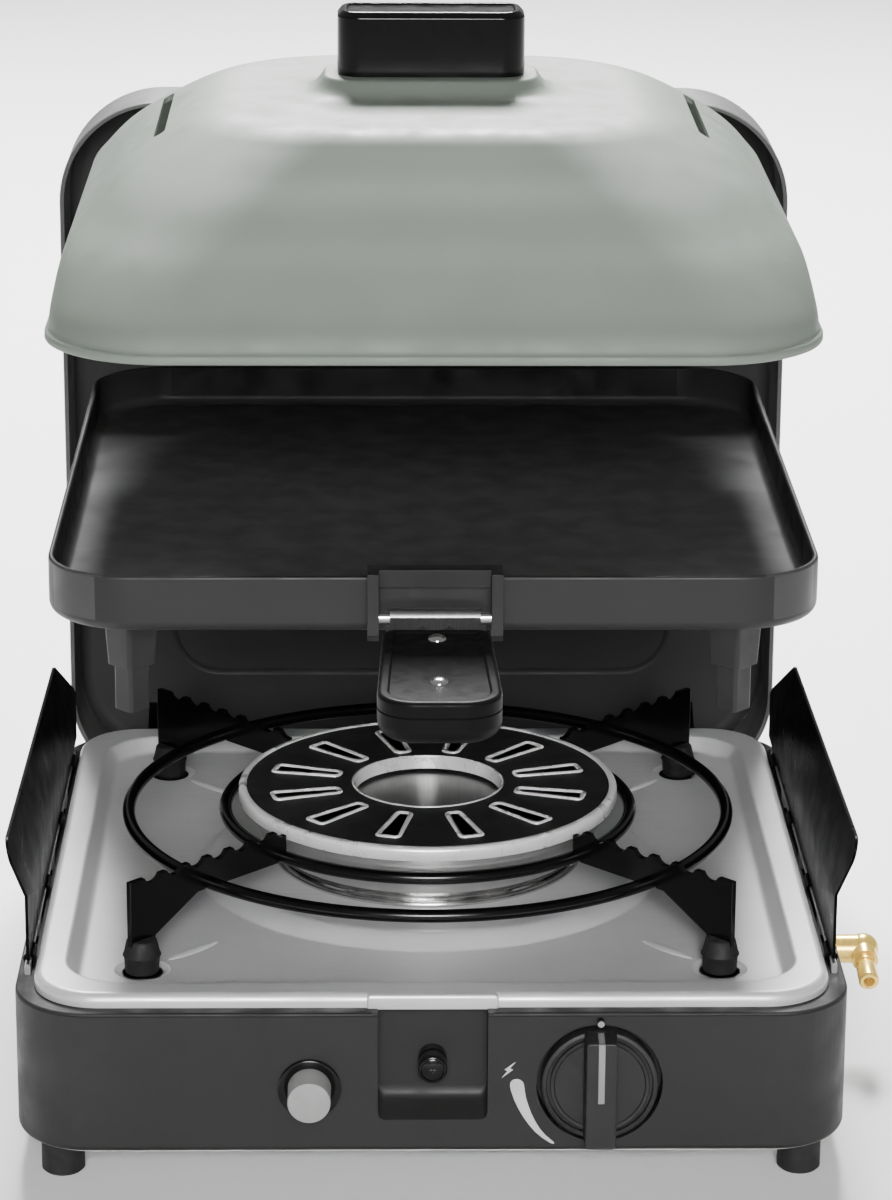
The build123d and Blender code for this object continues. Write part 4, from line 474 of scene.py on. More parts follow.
burner = {
    "platform": 76.7, "bowlTop": 104.5, "capTop": 107.1, "capRadius": 78.0, "discTop": 106.7,
    "discUnder": 105.5, "discRadius": 74.75, "hole": 30.3, "bead": 2.4, "skirt": 2.9, "slots": 12,
    "slotIn": 38, "slotOut": 65, "slotNarrow": 5.0, "slotWide": 8.4, "slotRound": 1.4,
    "footRadius": 64, "waist": 61, "mouth": 74, "throat": 14.3, "wall": 1.2,
    "bulge": ((0, 2.5), (2.2, 4.2), (5.0, 7.2), (8.4, 12.0), (11.0, 17.2), (12.5, 21.6)),
    "spreaderTop": 100.3, "spreaderRadius": 34,
}


def slotEdges(bm, grow, z, keep=False):
    # one flame slot, wider towards the disc's edge
    b = burner
    before = set(bm.faces)
    inner, outer = b["slotIn"] - grow, b["slotOut"] + grow
    narrow, wide = b["slotNarrow"] / 2 + grow, b["slotWide"] / 2 + grow
    corners = [bm.verts.new(p) for p in ((inner, -narrow, z), (outer, -wide, z), (outer, wide, z),
                                         (inner, narrow, z))]
    bm.faces.new(corners)
    roundCorners(bm, corners, b["slotRound"] + grow, 6)
    return rimOf(bm, before, keep)


def allRound(bm, count, first):
    start = bm.verts[:] + bm.edges[:] + bm.faces[:]
    bmesh.ops.rotate(bm, verts=bm.verts[:], cent=(0, 0, 0),
                     matrix=Matrix.Rotation(radians(first), 3, "Z"))
    for k in range(1, count):
        copied = bmesh.ops.duplicate(bm, geom=start)["geom"]
        turned = [g for g in copied if isinstance(g, bmesh.types.BMVert)]
        bmesh.ops.rotate(bm, verts=turned, cent=(0, 0, 0),
                         matrix=Matrix.Rotation(2 * pi * k / count, 3, "Z"))


def makeBurner(b):
    bm = bmesh.new()
    top, low, hole = b["discTop"], b["discUnder"], b["hole"]
    lathe(bm, [(hole, low), (hole, top + 0.1)] + bow((hole + 0.5, top), 0.5, 180, 90, 4)[1:] +
          [(hole + 1.1, top + 0.45), (hole + b["bead"], top), (b["discRadius"], top), (b["discRadius"], low)],
          closed=True, steps=144)
    disc = putIn("burnerDisc", bm, "base", discPaint, ("burner_disc",), angle=40)
    cuts = bmesh.new()
    bridge(cuts, [slotEdges(cuts, 0, low - 1, True), slotEdges(cuts, 0, top + 2, True)])
    allRound(cuts, b["slots"], 180 / b["slots"])
    carve(disc, cuts, angle=40)
    levelFaces(disc)
    # bright rims turned out round each slot
    bm = bmesh.new()
    rims = [(1.3, top), (1.2, top + 0.35), (0.8, top + 0.65), (0.2, top + 0.75), (-0.4, top + 0.5),
            (-0.8, top - 0.2), (-1.25, low - 2.6), (-0.95, low - 2.7), (-0.4, low), (0, top), (1.3, top)]
    bridge(bm, [slotEdges(bm, grow, z) for grow, z in rims])
    allRound(bm, b["slots"], 180 / b["slots"])
    putIn("slotRims", bm, "base", satinSteel, ("flame_slot_rims",), angle=60)
    # bright bead round the centre hole
    bm = bmesh.new()
    lathe(bm, [(hole - 0.3, low - 3.6), (hole - 0.02, top + 0.3)] +
          bow((hole + 0.55, top + 0.3), 0.57, 180, 0, 8)[1:] +
          [(hole + 1.12, top), (hole + 0.3, low), (hole, low - 3.6)], closed=True, steps=144)
    putIn("holeBead", bm, "base", satinSteel, angle=60)
    # polished trim ring round the disc
    bm = bmesh.new()
    mouth, seat = b["mouth"], b["bowlTop"]
    out, capTop, under = b["capRadius"], b["capTop"], seat - b["skirt"]
    lathe(bm, [(mouth - 3.4, seat), (mouth - 3.4, seat + 1), (out - 3.2, seat + 1),
               (out - 3.2, capTop - 0.3), (out - 2.9, capTop)] +
          bow((out - 1.6, capTop - 1.6), 1.6, 90, 0, 8) +
          [(out, under + 0.3), (out - 0.3, under), (out - 1.3, under), (out - 1.6, under + 0.3),
           (out - 1.6, seat)], closed=True, steps=144)
    putIn("trimRing", bm, "base", satinSteel, ("burner_trim_ring",), angle=50)
    # spun bowl
    bm = bmesh.new()
    foot, waist, wall, throat, r = b["platform"], b["waist"], b["wall"], b["throat"], b["footRadius"]
    side = [(waist + out, foot + z) for out, z in b["bulge"]] + [(mouth, seat - 3.0), (mouth, seat)]
    inner = [(r - wall, z + (0.4 if k else 0)) for k, (r, z) in enumerate(side)][::-1]
    inner[0] = (mouth - wall, seat)
    lathe(bm, [(throat, foot), (r - 0.3, foot), (r, foot + 0.3), (r, foot + 1.2),
               (r - 0.4, foot + 1.6), (waist + 0.4, foot + 1.8)] + side + inner[:-1] +
          [(waist - 2.6, foot + wall), (throat, foot + wall)], closed=True, steps=144)
    putIn("burnerBowl", bm, "base", polishedSteel, ("burner_bowl",), angle=50)
    # flat spreader under the centre hole
    bm = bmesh.new()
    z, r = b["spreaderTop"], b["spreaderRadius"]
    lathe(bm, [(0, z - 0.1), (10, z - 0.1), (r - 6, z - 0.05), (r - 1, z), (r, z - 0.4), (r - 0.6, z - 1.1),
               (r - 6, z - 1.3), (0, z - 1.6)], steps=96)
    putIn("spreaderDish", bm, "base", dishSteel, angle=50)


makeBurner(burner)
print("burner made")


# ---- trivet

trivet = {"ringZ": 96.9, "wire": 2.6, "outer": 123.3, "inner": 83.5, "footAt": 158.8, "footLow": 69.6,
          "footTop": 83.4, "footRadius": 7.1}


def makeTrivet(t):
    for name, radius, node in (("trivetOuterRing", t["outer"], "trivet_outer_ring"),
                               ("trivetInnerRing", t["inner"], "trivet_inner_ring")):
        bm = bmesh.new()
        section = bmesh.ops.create_circle(bm, cap_ends=False, radius=t["wire"], segments=24)["verts"]
        faceFront(bm)
        bmesh.ops.translate(bm, vec=(radius, 0, t["ringZ"]), verts=section)
        bmesh.ops.spin(bm, geom=bm.verts[:] + bm.edges[:], cent=(0, 0, 0), axis=(0, 0, 1),
                       angle=2 * pi, steps=160, use_merge=True)
        putIn(name, bm, "trivet", glossEnamel, (node,), angle=60)
    eased("trivetArms", "trivet_arms", "trivet", glossEnamel, width=0.35, angle=35)
    bm = bmesh.new()
    r, low, top = t["footRadius"], t["footLow"], t["footTop"]
    for k in range(4):
        turn = pi / 4 + k * pi / 2
        at = (t["footAt"] * cos(turn), t["footAt"] * sin(turn))
        lathe(bm, [(0, low), (r - 1.6, low)] + bow((r - 1.6, low + 1), 1, -90, 0, 4)[1:] +
              [(r - 0.1, low + 6.5)] + bow((r - 0.4, low + 7.3), 0.8, 0, 60, 4) +
              [(r - 1.2, top - 0.6), (r - 1.8, top), (0, top)], at, steps=48)
    putIn("trivetFeet", bm, "trivet", footRubber, ("trivet_feet",), angle=50)


makeTrivet(trivet)
print("trivet made")


# ---- body, shields, latch and knob

bodyShape = {
    "width": 320, "depth": 318.6, "corner": 30, "foot": 3.0, "low": 14.4, "front": 159.3, "ease": 0.45,
    "recessWidth": 41.8, "recessBack": 146.05, "recessCorner": 3.0, "recessHigh": 46,
    "fillHeight": 12, "fillMiddle": 31.8,
    "sill": ((36.2, 0), (34.2, 0.3), (32.8, 1.1), (31.7, 2.6), (30.9, 4.6), (29.8, 8.5), (27.6, 14.5)),
    "seam": 70.55, "seamHigh": 0.35, "seamDeep": 0.4,
    "pegX": 63.4, "pegZ": 68.7, "pegRadius": 1.5, "pegOut": 3.4,
}


def makeBody(s):
    piece = eased("bodyHousing", "base_housing", "base", stoveEnamel, width=0,
                  angle=32, level=False)
    # the recess's floor curves out of its back wall and falls to the front
    front, back, w, high = s["front"], s["recessBack"], s["recessWidth"], s["recessHigh"]
    bm = bmesh.new()
    loftPlates(bm, [(w + 1, s["fillHeight"], 1, y) for y in (back - 1, front - 1)],
               (0, s["fillMiddle"]), 4, True, True)
    faceFront(bm)
    carve(piece, bm, "UNION")
    bm = bmesh.new()
    ends = (s["sill"][0], s["sill"][-1])
    bridge(bm, [plateEdges(bm, w - 0.02, high - low, s["recessCorner"], back + out,
                           (0, (high + low) / 2), 8, (low, out) in ends) for low, out in s["sill"]])
    faceFront(bm)
    carve(piece, bm)
    edges = piece.modifiers.new("Ease", "BEVEL")
    edges.width = s["ease"] * mm
    edges.segments = 2
    edges.limit_method = "ANGLE"
    edges.angle_limit = radians(40)
    bakeShape(piece)
    # seam under the top edge
    bm = bmesh.new()
    rims = [plateEdges(bm, s["width"] + 2 * g, s["depth"] + 2 * g, s["corner"] + g, s["seam"] + z)
            for g, z in ((1, 0), (1, s["seamHigh"]), (-s["seamDeep"], s["seamHigh"]), (-s["seamDeep"], 0))]
    bridge(bm, rims + [rims[0]])
    carve(piece, bm, angle=32)
    levelFaces(piece)
    # bright line along the folded lower edge: a painted highlight, a thin strip of bright metal where the
    # edge reflects the floor's light
    bm = bmesh.new()
    f = s["foot"]
    rims = [plateEdges(bm, s["width"] - 2 * i, s["depth"] - 2 * i, s["corner"] - i, z)
            for i, z in ((f - (f + g) * cos(radians(a)), s["low"] + f - (f + g) * sin(radians(a)))
                         for g, a in ((0.12, 64), (0.12, 54), (-0.15, 54), (-0.15, 64)))]
    bridge(bm, rims + [rims[0]])
    putIn("lowerEdgeHighlight", bm, "base", zincPlate, angle=50)
    # index peg above the knob
    bm = bmesh.new()
    r, tip, at = s["pegRadius"], front + s["pegOut"], (s["pegX"], s["pegZ"])
    lathe(bm, [(0, front - 1), (r, front - 1), (r, tip - 0.2), (r - 0.2, tip), (0, tip)], at, 32)
    faceFront(bm)
    putIn("indexPeg", bm, "base", glossBlack, angle=40)
    bm = bmesh.new()
    lathe(bm, [(0, tip - 0.3), (r - 0.22, tip - 0.3), (r - 0.22, tip + 0.04), (0, tip + 0.06)], at, 32)
    faceFront(bm)
    putIn("indexDot", bm, "base", palePlastic, angle=40)


makeBody(bodyShape)
eased("windShieldLeft", "wind_shield_left", "shield_left", shieldEnamel, angle=25)
eased("windShieldRight", "wind_shield_right", "shield_right", shieldEnamel, angle=25)

knobShape = {"x": 63.4, "z": 43.0, "radius": 22.3, "back": 155.6, "face": 161.6, "gripFace": 172.2,
             "dish": 18.9, "groove": 1.3, "grooveDepth": 2.2, "bore": 3.2, "boreDepth": 9,
             "gripLength": 43.4, "gripWidth": 11.6, "gripEdge": 0.6, "stripLow": -2.7, "stripWidth": 2.4}


def makeKnob(k):
    at = (k["x"], k["z"])
    bm = bmesh.new()
    r, face, dish, g = k["radius"], k["face"], k["dish"], k["groove"]
    back, bore, trough = k["back"], k["bore"], face - k["grooveDepth"]
    lathe(bm, [(bore, back + 0.3), (r - 0.3, back), (r, back + 0.3), (r, face - 1.1),
               (r - 0.35, face - 0.35), (r - 1.1, face), (dish + g + 0.3, face),
               (dish + g, face - 0.3), (dish + g, trough), (dish, trough), (dish, face - 0.3),
               (dish - 0.3, face), (dish - g, face - 0.1), (dish - g - 0.5, face - 0.6),
               (0, face - 0.6)], at, 96)
    lathe(bm, [(bore, back + 0.3), (bore, back + k["boreDepth"])], at, 96)
    # bar grip across the knob
    long, wide = k["gripLength"], k["gripWidth"]
    rings = [(wide + 1.4, long + 0.4, 0), (wide + 0.7, long + 0.2, 2.5), (wide, long, 9.0)]
    e = k["gripEdge"]
    edge = [(e - x, z) for x, z in bow((0, k["gripFace"] - e), e, 0, 90, 4)]
    plates = [(w, l, 1.4, trough + z) for w, l, z in rings]
    plates += [(wide - 2 * i, long - 2 * i, 1.4 - i, z) for i, z in edge]
    loftPlates(bm, plates, at, steps=8, closeFirst=True, closeLast=True)
    faceFront(bm)
    knobPiece = putIn("knobBody", bm, "knob", knobPlastic, ("knob",), angle=35)
    levelFaces(knobPiece)
    # light pointer strip let into the grip, folded over its upper end
    bm = bmesh.new()
    high, low, w = k["gripLength"] / 2, k["stripLow"], k["stripWidth"]
    for bottom, top, start, end in ((low, high + 0.1, k["gripFace"] - 0.5, k["gripFace"]),
                                    (high - 0.4, high + 0.1, face + 0.3, k["gripFace"])):
        loftPlates(bm, [(w, top - bottom, 0.05, start), (w, top - bottom, 0.05, end + 0.04),
                        (w - 0.16, top - bottom - 0.16, 0.04, end + 0.12)],
                   (k["x"], k["z"] + (top + bottom) / 2), 2, True, True)
    faceFront(bm)
    putIn("pointerStrip", bm, "knob", palePlastic, ("knob_pointer",), angle=50)


makeKnob(knobShape)

igniter = {"x": -46.8, "z": 41.3, "button": 8.15, "buttonLong": 25, "proud": 14.0, "edge": 0.5,
           "collar": 12.1, "flange": 1.6, "shank": 10.6, "shankLong": 15}


def makeIgniter(g):
    at = (g["x"], g["z"])
    front = bodyShape["front"]
    bm = bmesh.new()
    r, f, back, bore = g["collar"], front + g["flange"], front - g["shankLong"], g["button"] + 0.1
    lathe(bm, [(g["shank"], back), (g["shank"], front), (r - 0.1, front), (r, front + 0.3)] +
          bow((r - 0.8, f - 0.8), 0.8, 0, 90, 6) +
          [(bore + 1.1, f), (bore + 0.4, f - 0.3), (bore, f - 0.9), (bore, back)], at, 80, closed=True)
    faceFront(bm)
    putIn("igniterCollar", bm, "base", glossBlack, ("igniter_collar",), angle=50)
    bm = bmesh.new()
    r, f, e = g["button"], front + g["proud"], g["edge"]
    back = f - g["buttonLong"]
    lathe(bm, [(0, back), (r, back), (r, f - e)] + bow((r - e, f - e), e, 0, 90, 5)[1:] +
          [(0, f + 0.1)], at, 80)
    faceFront(bm)
    putIn("igniterButton", bm, "igniter", palePlastic, ("igniter_button",), angle=50)


makeIgniter(igniter)

latch = {"z": 48.3, "radius": 5.5, "back": 146.0, "face": 158.9, "bore": 2.1, "seat": 4.4,
         "seatDepth": 1.5, "head": 4.3, "cross": (0.5, 2.6, 0.7)}


def makeLatch(s):
    at = (0, s["z"])
    r, back, face, seat = s["radius"], s["back"], s["face"], s["seat"]
    under = face - s["seatDepth"]
    bm = bmesh.new()
    lathe(bm, [(s["bore"], back), (r, back), (r, back + 4.0), (r - 0.2, back + 4.2),
               (r - 1.1, back + 4.2), (r - 1.1, back + 6.0), (r - 0.2, back + 6.0),
               (r, back + 6.3), (r, face - 0.8)] +
          bow((r - 0.8, face - 0.8), 0.8, 0, 90, 5)[1:] +
          [(seat + 0.2, face), (seat, face - 0.25), (seat, under), (s["bore"], under)], at, 64,
          closed=True)
    faceFront(bm)
    putIn("latchStud", bm, "base", glossBlack, ("latch_stud",), angle=40)
    bm = bmesh.new()
    h = s["head"]
    lathe(bm, [(0, under), (h, under), (h, face - 0.45), (h - 0.3, face - 0.25), (0, face - 0.1)],
          at, 48)
    faceFront(bm)
    screw = putIn("latchScrew", bm, "base", glossBlack, ("latch_screw",), angle=35)
    wide, long, deep = s["cross"]
    for size in ((wide, long), (long, wide)):
        bm = bmesh.new()
        loftPlates(bm, [(*size, 0.1, face - deep), (*size, 0.1, face + 1)], at, 2, True, True)
        faceFront(bm)
        carve(screw, bm)


makeLatch(latch)
print("front panel made")


# ---- printed marks on the front: a spark and a swelling flame stroke

marks = {
    "y": 159.36, "thick": 0.05,
    "spark": (((31.35, 52.0), (31.45, 51.9)), ((27.2, 48.75), (29.3, 49.3)),
              ((28.35, 48.2), (30.45, 48.75)), ((26.2, 45.5), (26.3, 45.4))),
    "flame": ((31.8, 44.9, 0.2), (31.8, 44.6, 1.3), (31.8, 44.0, 2.0), (31.85, 43.2, 2.5),
              (32.0, 42.2, 2.65), (32.3, 40.6, 2.6), (33.2, 36.8, 2.25), (34.4, 33.6, 2.0),
              (36.0, 30.0, 1.7), (37.8, 26.8, 1.4), (40.0, 23.6, 1.1), (42.6, 20.9, 0.8),
              (45.4, 18.7, 0.55), (46.1, 18.3, 0.4), (46.4, 18.15, 0.1)),
}


def drawMark(name, rows):
    # rows of left and right points, from one end of the mark to the other
    bm = bmesh.new()
    rows = [[bm.verts.new((x, z, marks["y"])) for x, z in row] for row in rows]
    for (a, b), (c, d) in zip(rows, rows[1:]):
        bm.faces.new((a, b, d, c))
    bmesh.ops.solidify(bm, geom=bm.faces[:], thickness=marks["thick"])
    faceFront(bm)
    putIn(name, bm, "base", inkPrint, angle=30)


def strokeRows(line):
    # a round head that thins along a curve to a small round tip: x, z and half the width
    rows = []
    for k, (x, z, half) in enumerate(line):
        ahead, back = line[min(k + 1, len(line) - 1)], line[max(k - 1, 0)]
        dx, dz = ahead[0] - back[0], ahead[1] - back[1]
        size = sqrt(dx * dx + dz * dz)
        sideX, sideZ = dz / size * half, dx / size * half
        rows.append(((x + sideX, z - sideZ), (x - sideX, z + sideZ)))
    return rows


drawMark("sparkMark", marks["spark"])
drawMark("flameMark", strokeRows(marks["flame"]))
print("marks made")


# ---- grill pan and its handle

pan = {"width": 286.6, "depth": 315.6, "corner": 32, "middle": (0, -1.5), "low": 223.0,
       "rim": 244.4, "wall": 2.2, "floor": 4.6, "edge": 4.0, "fillet": 4}


def makePan(p):
    bm = bmesh.new()
    w, d, c, rim, low = p["width"], p["depth"], p["corner"], p["rim"], p["low"]
    wall, fillet, floor = p["wall"], p["fillet"], low + p["floor"]
    # up the outside, over the round rim and down the inside
    steps = [(p["edge"] - x, z) for x, z in bow((0, low + p["edge"]), p["edge"], -90, 0, 6)]
    edge = wall / 2
    steps += [(0, rim - edge - 0.1)]
    steps += [(edge - x, z) for x, z in bow((0, rim - edge), edge, 0, 180, 10)]
    steps += [(wall, rim - 3), (wall, floor + fillet)]
    steps += [(wall + fillet - x, z) for x, z in bow((0, floor + fillet), fillet, 0, -90, 6)][1:]
    loftPlates(bm, [(w - 2 * i, d - 2 * i, max(c - i, 3), z) for i, z in steps], p["middle"],
               closeFirst=True, closeLast=True)
    piece = putIn("panTray", bm, "pan", panOuter, ("pan_shell",), angle=60)
    # the inside is coated darker than the outside
    piece.data.materials.append(panCoat)
    inside = (w / 2 - wall) * mm
    for face in piece.data.polygons:
        x, y, z = face.center
        inward = abs(x) < inside and abs(y - p["middle"][1] * mm) < (d / 2 - wall) * mm
        if inward and z > (floor - 0.5) * mm:
            face.material_index = 1
    levelFaces(piece)


makePan(pan)
eased("panFeet", "pan_feet", "pan", panOuter, width=0.4, angle=30)
eased("handleBracket", "handle_bracket", "pan", panOuter, width=0.5, angle=30)
eased("handleTang", "handle_tang", "pan_handle", tangSteel, width=0.3, angle=30)

handleGrip = {"back": -199.0, "front": -281.0, "backWidth": 38.4, "frontWidth": 43.6,
              "backRound": 5, "frontRound": 14, "part": 231.6, "up": 5.8, "down": 10.2,
              "edge": 1.8, "belly": 6.0, "dish": 0.8, "rivets": (-209.0, -256.7), "shank": 3.4,
              "rivetHead": ((3.2, 0.5), (2.8, 0.95), (2.2, 1.35), (1.4, 1.65), (0.7, 1.77), (0, 1.8))}


def gripEdges(bm, inset, z, keep=False):
    # the grip's outline, a little wider and rounder at its front end
    g = handleGrip
    before = set(bm.faces)
    bw, fw = g["backWidth"] / 2 - inset, g["frontWidth"] / 2 - inset
    points = [bm.verts.new(p) for p in ((-bw, g["back"] - inset, z), (bw, g["back"] - inset, z),
                                        (fw, g["front"] + inset, z), (-fw, g["front"] + inset, z))]
    bm.faces.new(points)
    for some, size in ((points[:2], g["backRound"]), (points[2:], g["frontRound"])):
        roundCorners(bm, some, max(size - inset, 1), 12)
    return rimOf(bm, before, keep)


def gripHalf(name, node, rows):
    bm = bmesh.new()
    ends = (rows[0], rows[-1])
    bridge(bm, [gripEdges(bm, *row, row in ends) for row in rows])
    levelFaces(putIn(name, bm, "pan_handle", gripPlastic, (node,), angle=40))


def makeGrip(g):
    top = g["part"] + g["up"]
    rows = [(0.35, g["part"]), (0, g["part"] + 0.35)]
    rows += [(g["edge"] - x, z) for x, z in bow((0, top - g["edge"]), g["edge"], 0, 90, 6)]
    rows += [(3.4, top), (3.8, top - 0.15), (4.3, top - g["dish"] + 0.1), (5.2, top - g["dish"])]
    gripHalf("gripUpper", "handle_grip_upper", rows)
    low = g["part"] - g["down"]
    rows = [(g["belly"] - x, z) for x, z in bow((0, low + g["belly"]), g["belly"], -90, 0, 10)]
    rows += [(0, g["part"] - 0.35), (0.35, g["part"])]
    gripHalf("gripLower", "handle_grip_lower", rows)
    bm = bmesh.new()
    seat, r = top - g["dish"], g["shank"]
    for y in g["rivets"]:
        lathe(bm, [(0, seat - 1), (r, seat - 1), (r, seat + 0.2)] +
              [(out, seat + h) for out, h in g["rivetHead"]], (0, y), 48)
    putIn("gripRivets", bm, "pan_handle", polishedSteel, ("handle_rivets",),
          angle=60)


makeGrip(handleGrip)
print("pan made")


# ---- domed lid and its grip

# each level: height over the rim, inset at the sides, inset at the front and back, corner radius
lid = {
    "width": 287.4, "depth": 317.4, "corner": 46, "middle": (0, -1.5), "rim": 323.6, "wall": 2.0,
    "levels": ((4.0, 1.4, 1.6, 46.0), (12.0, 2.2, 6.0, 47.0), (27.0, 5.8, 21.5, 52.0),
               (38.0, 13.2, 34.0, 56.0), (48.0, 21.6, 45.2, 58.0), (57.0, 32.6, 56.2, 58.0),
               (64.4, 45.0, 64.8, 55.5), (68.2, 53.4, 69.4, 51.5), (70.5, 61.0, 73.8, 47.5),
               (71.3, 67.5, 78.5, 44.0), (71.4, 74.0, 84.0, 41.0)),
    "slotX": 104.3, "slotLength": 84, "slotWidth": 4.4,
    "bossWidth": 82, "bossDepth": 44, "bossCorner": 15, "bossTop": 402.2,
}


def curve(p, q, r, s, t):
    # a smooth curve from q to r, with p before and s after them
    return 0.5 * (2 * q + (r - p) * t + (2 * p - 5 * q + 4 * r - s) * t * t +
                  (3 * q - p - 3 * r + s) * t ** 3)


def between(levels, parts):
    # smooth steps through a table of rows
    rows = []
    for k in range(len(levels) - 1):
        a, b = levels[max(k - 1, 0)], levels[k]
        c, d = levels[k + 1], levels[min(k + 2, len(levels) - 1)]
        for step in range(parts):
            rows.append(tuple(curve(*four, step / parts) for four in zip(a, b, c, d)))
    return rows + [levels[-1]]


def makeLid(s):
    w, d, rim = s["width"], s["depth"], s["rim"]
    skirt = [(h, x, y, s["corner"]) for h, x, y in (
        (0.0, 0.7, 0.7), (0.25, 0.25, 0.25), (0.8, 0.0, 0.0), (2.9, 0.1, 0.1), (3.35, 0.45, 0.5),
        (3.6, 1.0, 1.1))]
    rows = skirt + between(s["levels"], 5)
    rings = [(w - 2 * x, d - 2 * y, c, rim + h) for h, x, y, c in rows]
    bm = bmesh.new()
    rims = loftPlates(bm, rings, s["middle"], steps=18)
    # the boss under the grip
    top = rim + s["levels"][-1][0]
    grow = [(14, top + 0.25), (8, top + 0.7), (4.5, top + 1.9), (2.4, top + 4.0), (1.0, top + 6.2),
            (0.4, top + 7.0), (-0.4, s["bossTop"])]
    boss = [plateEdges(bm, s["bossWidth"] + 2 * g, s["bossDepth"] + 2 * g, s["bossCorner"] + g, z, (0, 0), 18,
                       g < 0) for g, z in grow]
    bridge(bm, [rims[-1]] + boss)
    piece = putIn("lidDome", bm, "lid", lidPaint, ("lid_shell",), angle=50)
    thicken(piece, s["wall"])
    # vent slots
    cuts = bmesh.new()
    sizes = (s["slotWidth"], s["slotLength"], s["slotWidth"] / 2 - 0.01)
    for side in (-1, 1):
        bridge(cuts, [plateEdges(cuts, *sizes, z, (side * s["slotX"], 0), 6, True)
                      for z in (top - 30, top)])
    carve(piece, cuts, angle=50)


makeLid(lid)

lidGrip = {"width": 73, "depth": 30, "corner": 9, "low": 402.2, "top": 427.2, "edge": 2.2,
           "dish": 1.0}


def makeLidGrip(g):
    w, d, c, low, top = g["width"], g["depth"], g["corner"], g["low"], g["top"]
    edge, dish = g["edge"], g["dish"]
    rows = [(0.6, low), (0.1, low + 0.6), (0, low + 3), (0.1, top - edge - 0.3),
            (0.4, top - edge + 0.3), (edge - 0.5, top - 0.45), (edge, top - 0.08),
            (edge + 0.4, top), (3.4, top), (3.8, top - 0.1), (4.3, top - dish + 0.15),
            (4.9, top - dish)]
    bm = bmesh.new()
    loftPlates(bm, [(w - 2 * i, d - 2 * i, max(c - i, 2), z) for i, z in rows], (0, 0), 12,
               True, True)
    levelFaces(putIn("lidGrip", bm, "lid", glossBlack, ("lid_grip",), angle=40))


makeLidGrip(lidGrip)
print("lid made")


# ---- rear cover

cover = {"width": 320.8, "height": 319, "corner": 45, "middle": 197.9, "rim": 178, "back": 223,
         "edge": 8, "wall": 1.8, "fieldWidth": 231, "fieldHeight": 236, "fieldMiddle": 198,
         "fieldCorner": 22, "step": 2.0, "notchX": 126, "notchLow": 38.2, "notchHigh": 44.8,
         "notchWidth": 3.5, "notchDeep": 20}


def makeCover(s):
    # drawn lying on its back, then stood up
    w, h, c = s["width"], s["height"], s["corner"]
    back = -s["back"]
    bm = bmesh.new()
    rows = [(0.5, -s["rim"]), (0.1, -s["rim"] - 0.5), (0, -s["rim"] - 1.2)]
    rows += [(s["edge"] - x, back + s["edge"] - z) for x, z in bow((0, 0), s["edge"], 0, 90, 8)]
    rims = loftPlates(bm, [(w - 2 * i, h - 2 * i, c - i, z) for i, z in rows], (0, s["middle"]),
                      steps=18)
    # the raised field on the cover's back
    fw, fh, fc = s["fieldWidth"], s["fieldHeight"], s["fieldCorner"]
    field = [(1.2, 0), (0.3, -0.15), (-0.2, -0.7), (-0.8, -1.6), (-1.6, -s["step"] + 0.05),
             (-2.4, -s["step"])]
    steps = [plateEdges(bm, fw + 2 * g, fh + 2 * g, fc + g, back + z, (0, s["fieldMiddle"]), 18, g < -2)
             for g, z in field]
    bridge(bm, [rims[-1]] + steps)
    faceFront(bm)
    piece = putIn("coverShell", bm, "cover", coverEnamel, ("cover_shell",), angle=50)
    thicken(piece, s["wall"])
    # the inside is darker than the outside
    piece.data.materials.append(coverInside)
    for face in piece.data.polygons:
        if face.normal.y < -0.2 and face.center.y > (s["rim"] + 3) * mm:
            face.material_index = 1
    # notches in the lower rim, where the hinge arms pass
    cuts = bmesh.new()
    low, high = s["notchLow"], s["notchHigh"]
    for side in (-1, 1):
        block = bmesh.ops.create_cube(cuts, size=1)["verts"]
        bmesh.ops.scale(cuts, vec=(s["notchWidth"], s["notchDeep"], high - low), verts=block)
        bmesh.ops.translate(cuts, vec=(side * s["notchX"], s["rim"], (low + high) / 2), verts=block)
    carve(piece, cuts, angle=50)
    levelFaces(piece)


makeCover(cover)
print("cover made")


# ---- brass inlet at the right side

inlet = {"x": 179.5, "y": -25, "z": 42.5, "droop": 12}


def makeNozzle(s):
    bm = bmesh.new()
    # shank, collar and barrel, from the elbow out
    lathe(bm, [(2.2, 9), (3.4, 9), (3.4, 10.6), (4.0, 10.6), (4.2, 10.9), (4.2, 11.9), (4.0, 12.2),
               (3.4, 12.2), (3.4, 13.8), (4.05, 13.8), (4.2, 14.1), (4.2, 23.2), (3.5, 24),
               (2.3, 24), (2.2, 23.8)], steps=56, closed=True)
    aim = Vector((0, -cos(radians(s["droop"])), -sin(radians(s["droop"]))))
    turn = Vector((0, 0, 1)).rotation_difference(aim).to_matrix()
    bmesh.ops.rotate(bm, verts=bm.verts[:], cent=(0, 0, 0), matrix=turn)
    bmesh.ops.translate(bm, vec=(s["x"], s["y"], s["z"]), verts=bm.verts[:])
    putIn("hoseNozzle", bm, "elbow", brassTurned, ("hose_nozzle",), angle=35)


makeNozzle(inlet)
eased("inletElbow", "elbow_body", "elbow", brassTurned, width=0, angle=40)
eased("inletNut", "elbow_nut", "elbow", brassTurned, width=0.15, angle=30)
print("inlet made")


# ---- finishes of the CAD nodes that stay

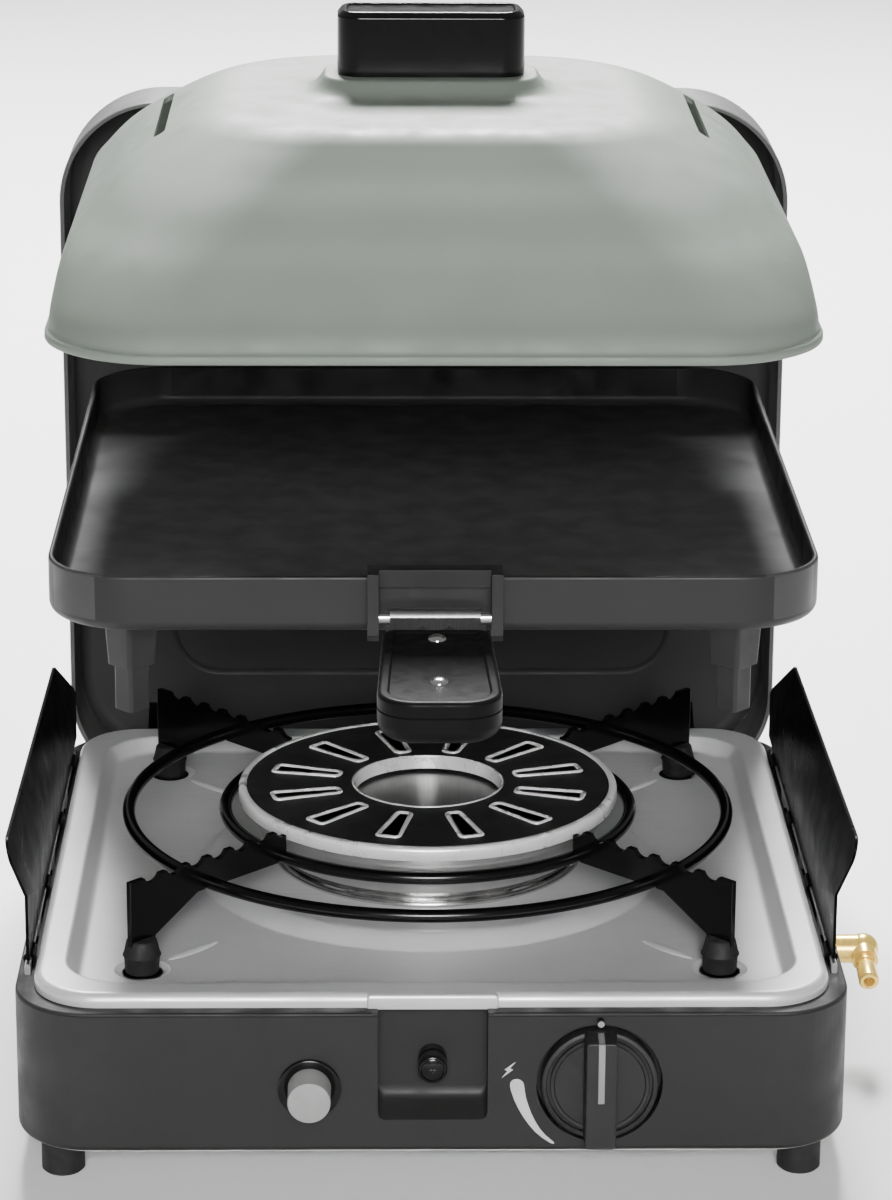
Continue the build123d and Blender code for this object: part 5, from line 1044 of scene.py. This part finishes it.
kept = {
    zincPlate: ("bottom_plate", "base_screws", "burner_nut", "shield_rod_left", "shield_rod_right",
                "hinge_brackets", "catch_bracket", "cover_catch", "lid_screws", "flame_spreader"),
    footRubber: ("rubber_feet",),
    alloyCast: ("mixing_tube", "feed_pipe", "supply_pipe"),
    brassTurned: ("gas_valve", "gas_injector", "inlet_stub", "inlet_locknut", "magnet_push_rod",
                  "valve_spindle"),
    ivoryPlastic: ("piezo_igniter",),
    copperDrawn: ("thermocouple",),
    glazedWhite: ("ignition_electrode",),
    wireSleeve: ("ignition_wire",),
    polishedSteel: ("hinge_pins", "handle_pin"),
    glossEnamel: ("cover_hinge_arms",),
}
for finish, names in kept.items():
    for name in names:
        if not nodes[name].material_slots:
            nodes[name].data.materials.append(finish)
        for place in nodes[name].material_slots:
            place.material = finish
print("kept nodes finished")


# ---- floor, light and camera

studio = {
    "world": (1.0, 1.0, 1.0), "worldPower": 0.28, "ground": (0.6, 0.6, 0.6),
    "lights": (("overhead", (0.0, 1.9, 2.3), (0.0, 0.0, 0.2), 1.0, 520, 180),
               ("frontHigh", (0.0, -2.0, 0.85), (0.0, -0.06, 0.0), 0.8, 4.6, 26)),
}


def makeStudio(s):
    bm = bmesh.new()
    bmesh.ops.create_grid(bm, x_segments=2, y_segments=2, size=4)
    mesh = bpy.data.meshes.new("floor")
    bm.to_mesh(mesh)
    bm.free()
    ground = bpy.data.objects.new("floor", mesh)
    bpy.context.scene.collection.objects.link(ground)
    mesh.materials.append(startFinish("paleFloor", s["ground"], rough=0.8)[0])
    world = bpy.data.worlds.new("studio")
    world.use_nodes = True
    back = world.node_tree.nodes["Background"]
    back.inputs["Color"].default_value = (*s["world"], 1)
    back.inputs["Strength"].default_value = s["worldPower"]
    bpy.context.scene.world = world
    for name, place, target, size, power, beam in s["lights"]:
        lamp = bpy.data.lights.new(name, "AREA")
        lamp.shape = "SQUARE"
        lamp.size = size
        lamp.energy = power
        lamp.spread = radians(beam)
        holder = bpy.data.objects.new(name, lamp)
        holder.location = place
        aim = Vector(target) - Vector(place)
        holder.rotation_euler = aim.to_track_quat("-Z", "Y").to_euler()
        bpy.context.scene.collection.objects.link(holder)


makeStudio(studio)

photoCamera = {"lens": 119.526, "place": (-0.0229, -1.5474, 0.6714), "down": 17.43,
               "yaw": 1.111, "roll": -0.316}


def makeCamera(s):
    lens = bpy.data.cameras.new("photoCamera")
    lens.lens = s["lens"]
    lens.sensor_width = 36
    lens.sensor_fit = "AUTO"
    camera = bpy.data.objects.new("photoCamera", lens)
    bpy.context.scene.collection.objects.link(camera)
    tilt, yaw, roll = radians(s["down"]), radians(s["yaw"]), radians(s["roll"])
    ahead = Vector((sin(yaw) * cos(tilt), cos(yaw) * cos(tilt), -sin(tilt)))
    right = Vector((cos(yaw), -sin(yaw), 0))
    down = ahead.cross(right)
    side = right * cos(roll) + down * sin(roll)
    below = down * cos(roll) - right * sin(roll)
    turn = Matrix((side, -below, -ahead)).transposed().to_4x4()
    camera.matrix_world = Matrix.Translation(s["place"]) @ turn
    bpy.context.scene.camera = camera


makeCamera(photoCamera)
print("scene ready")
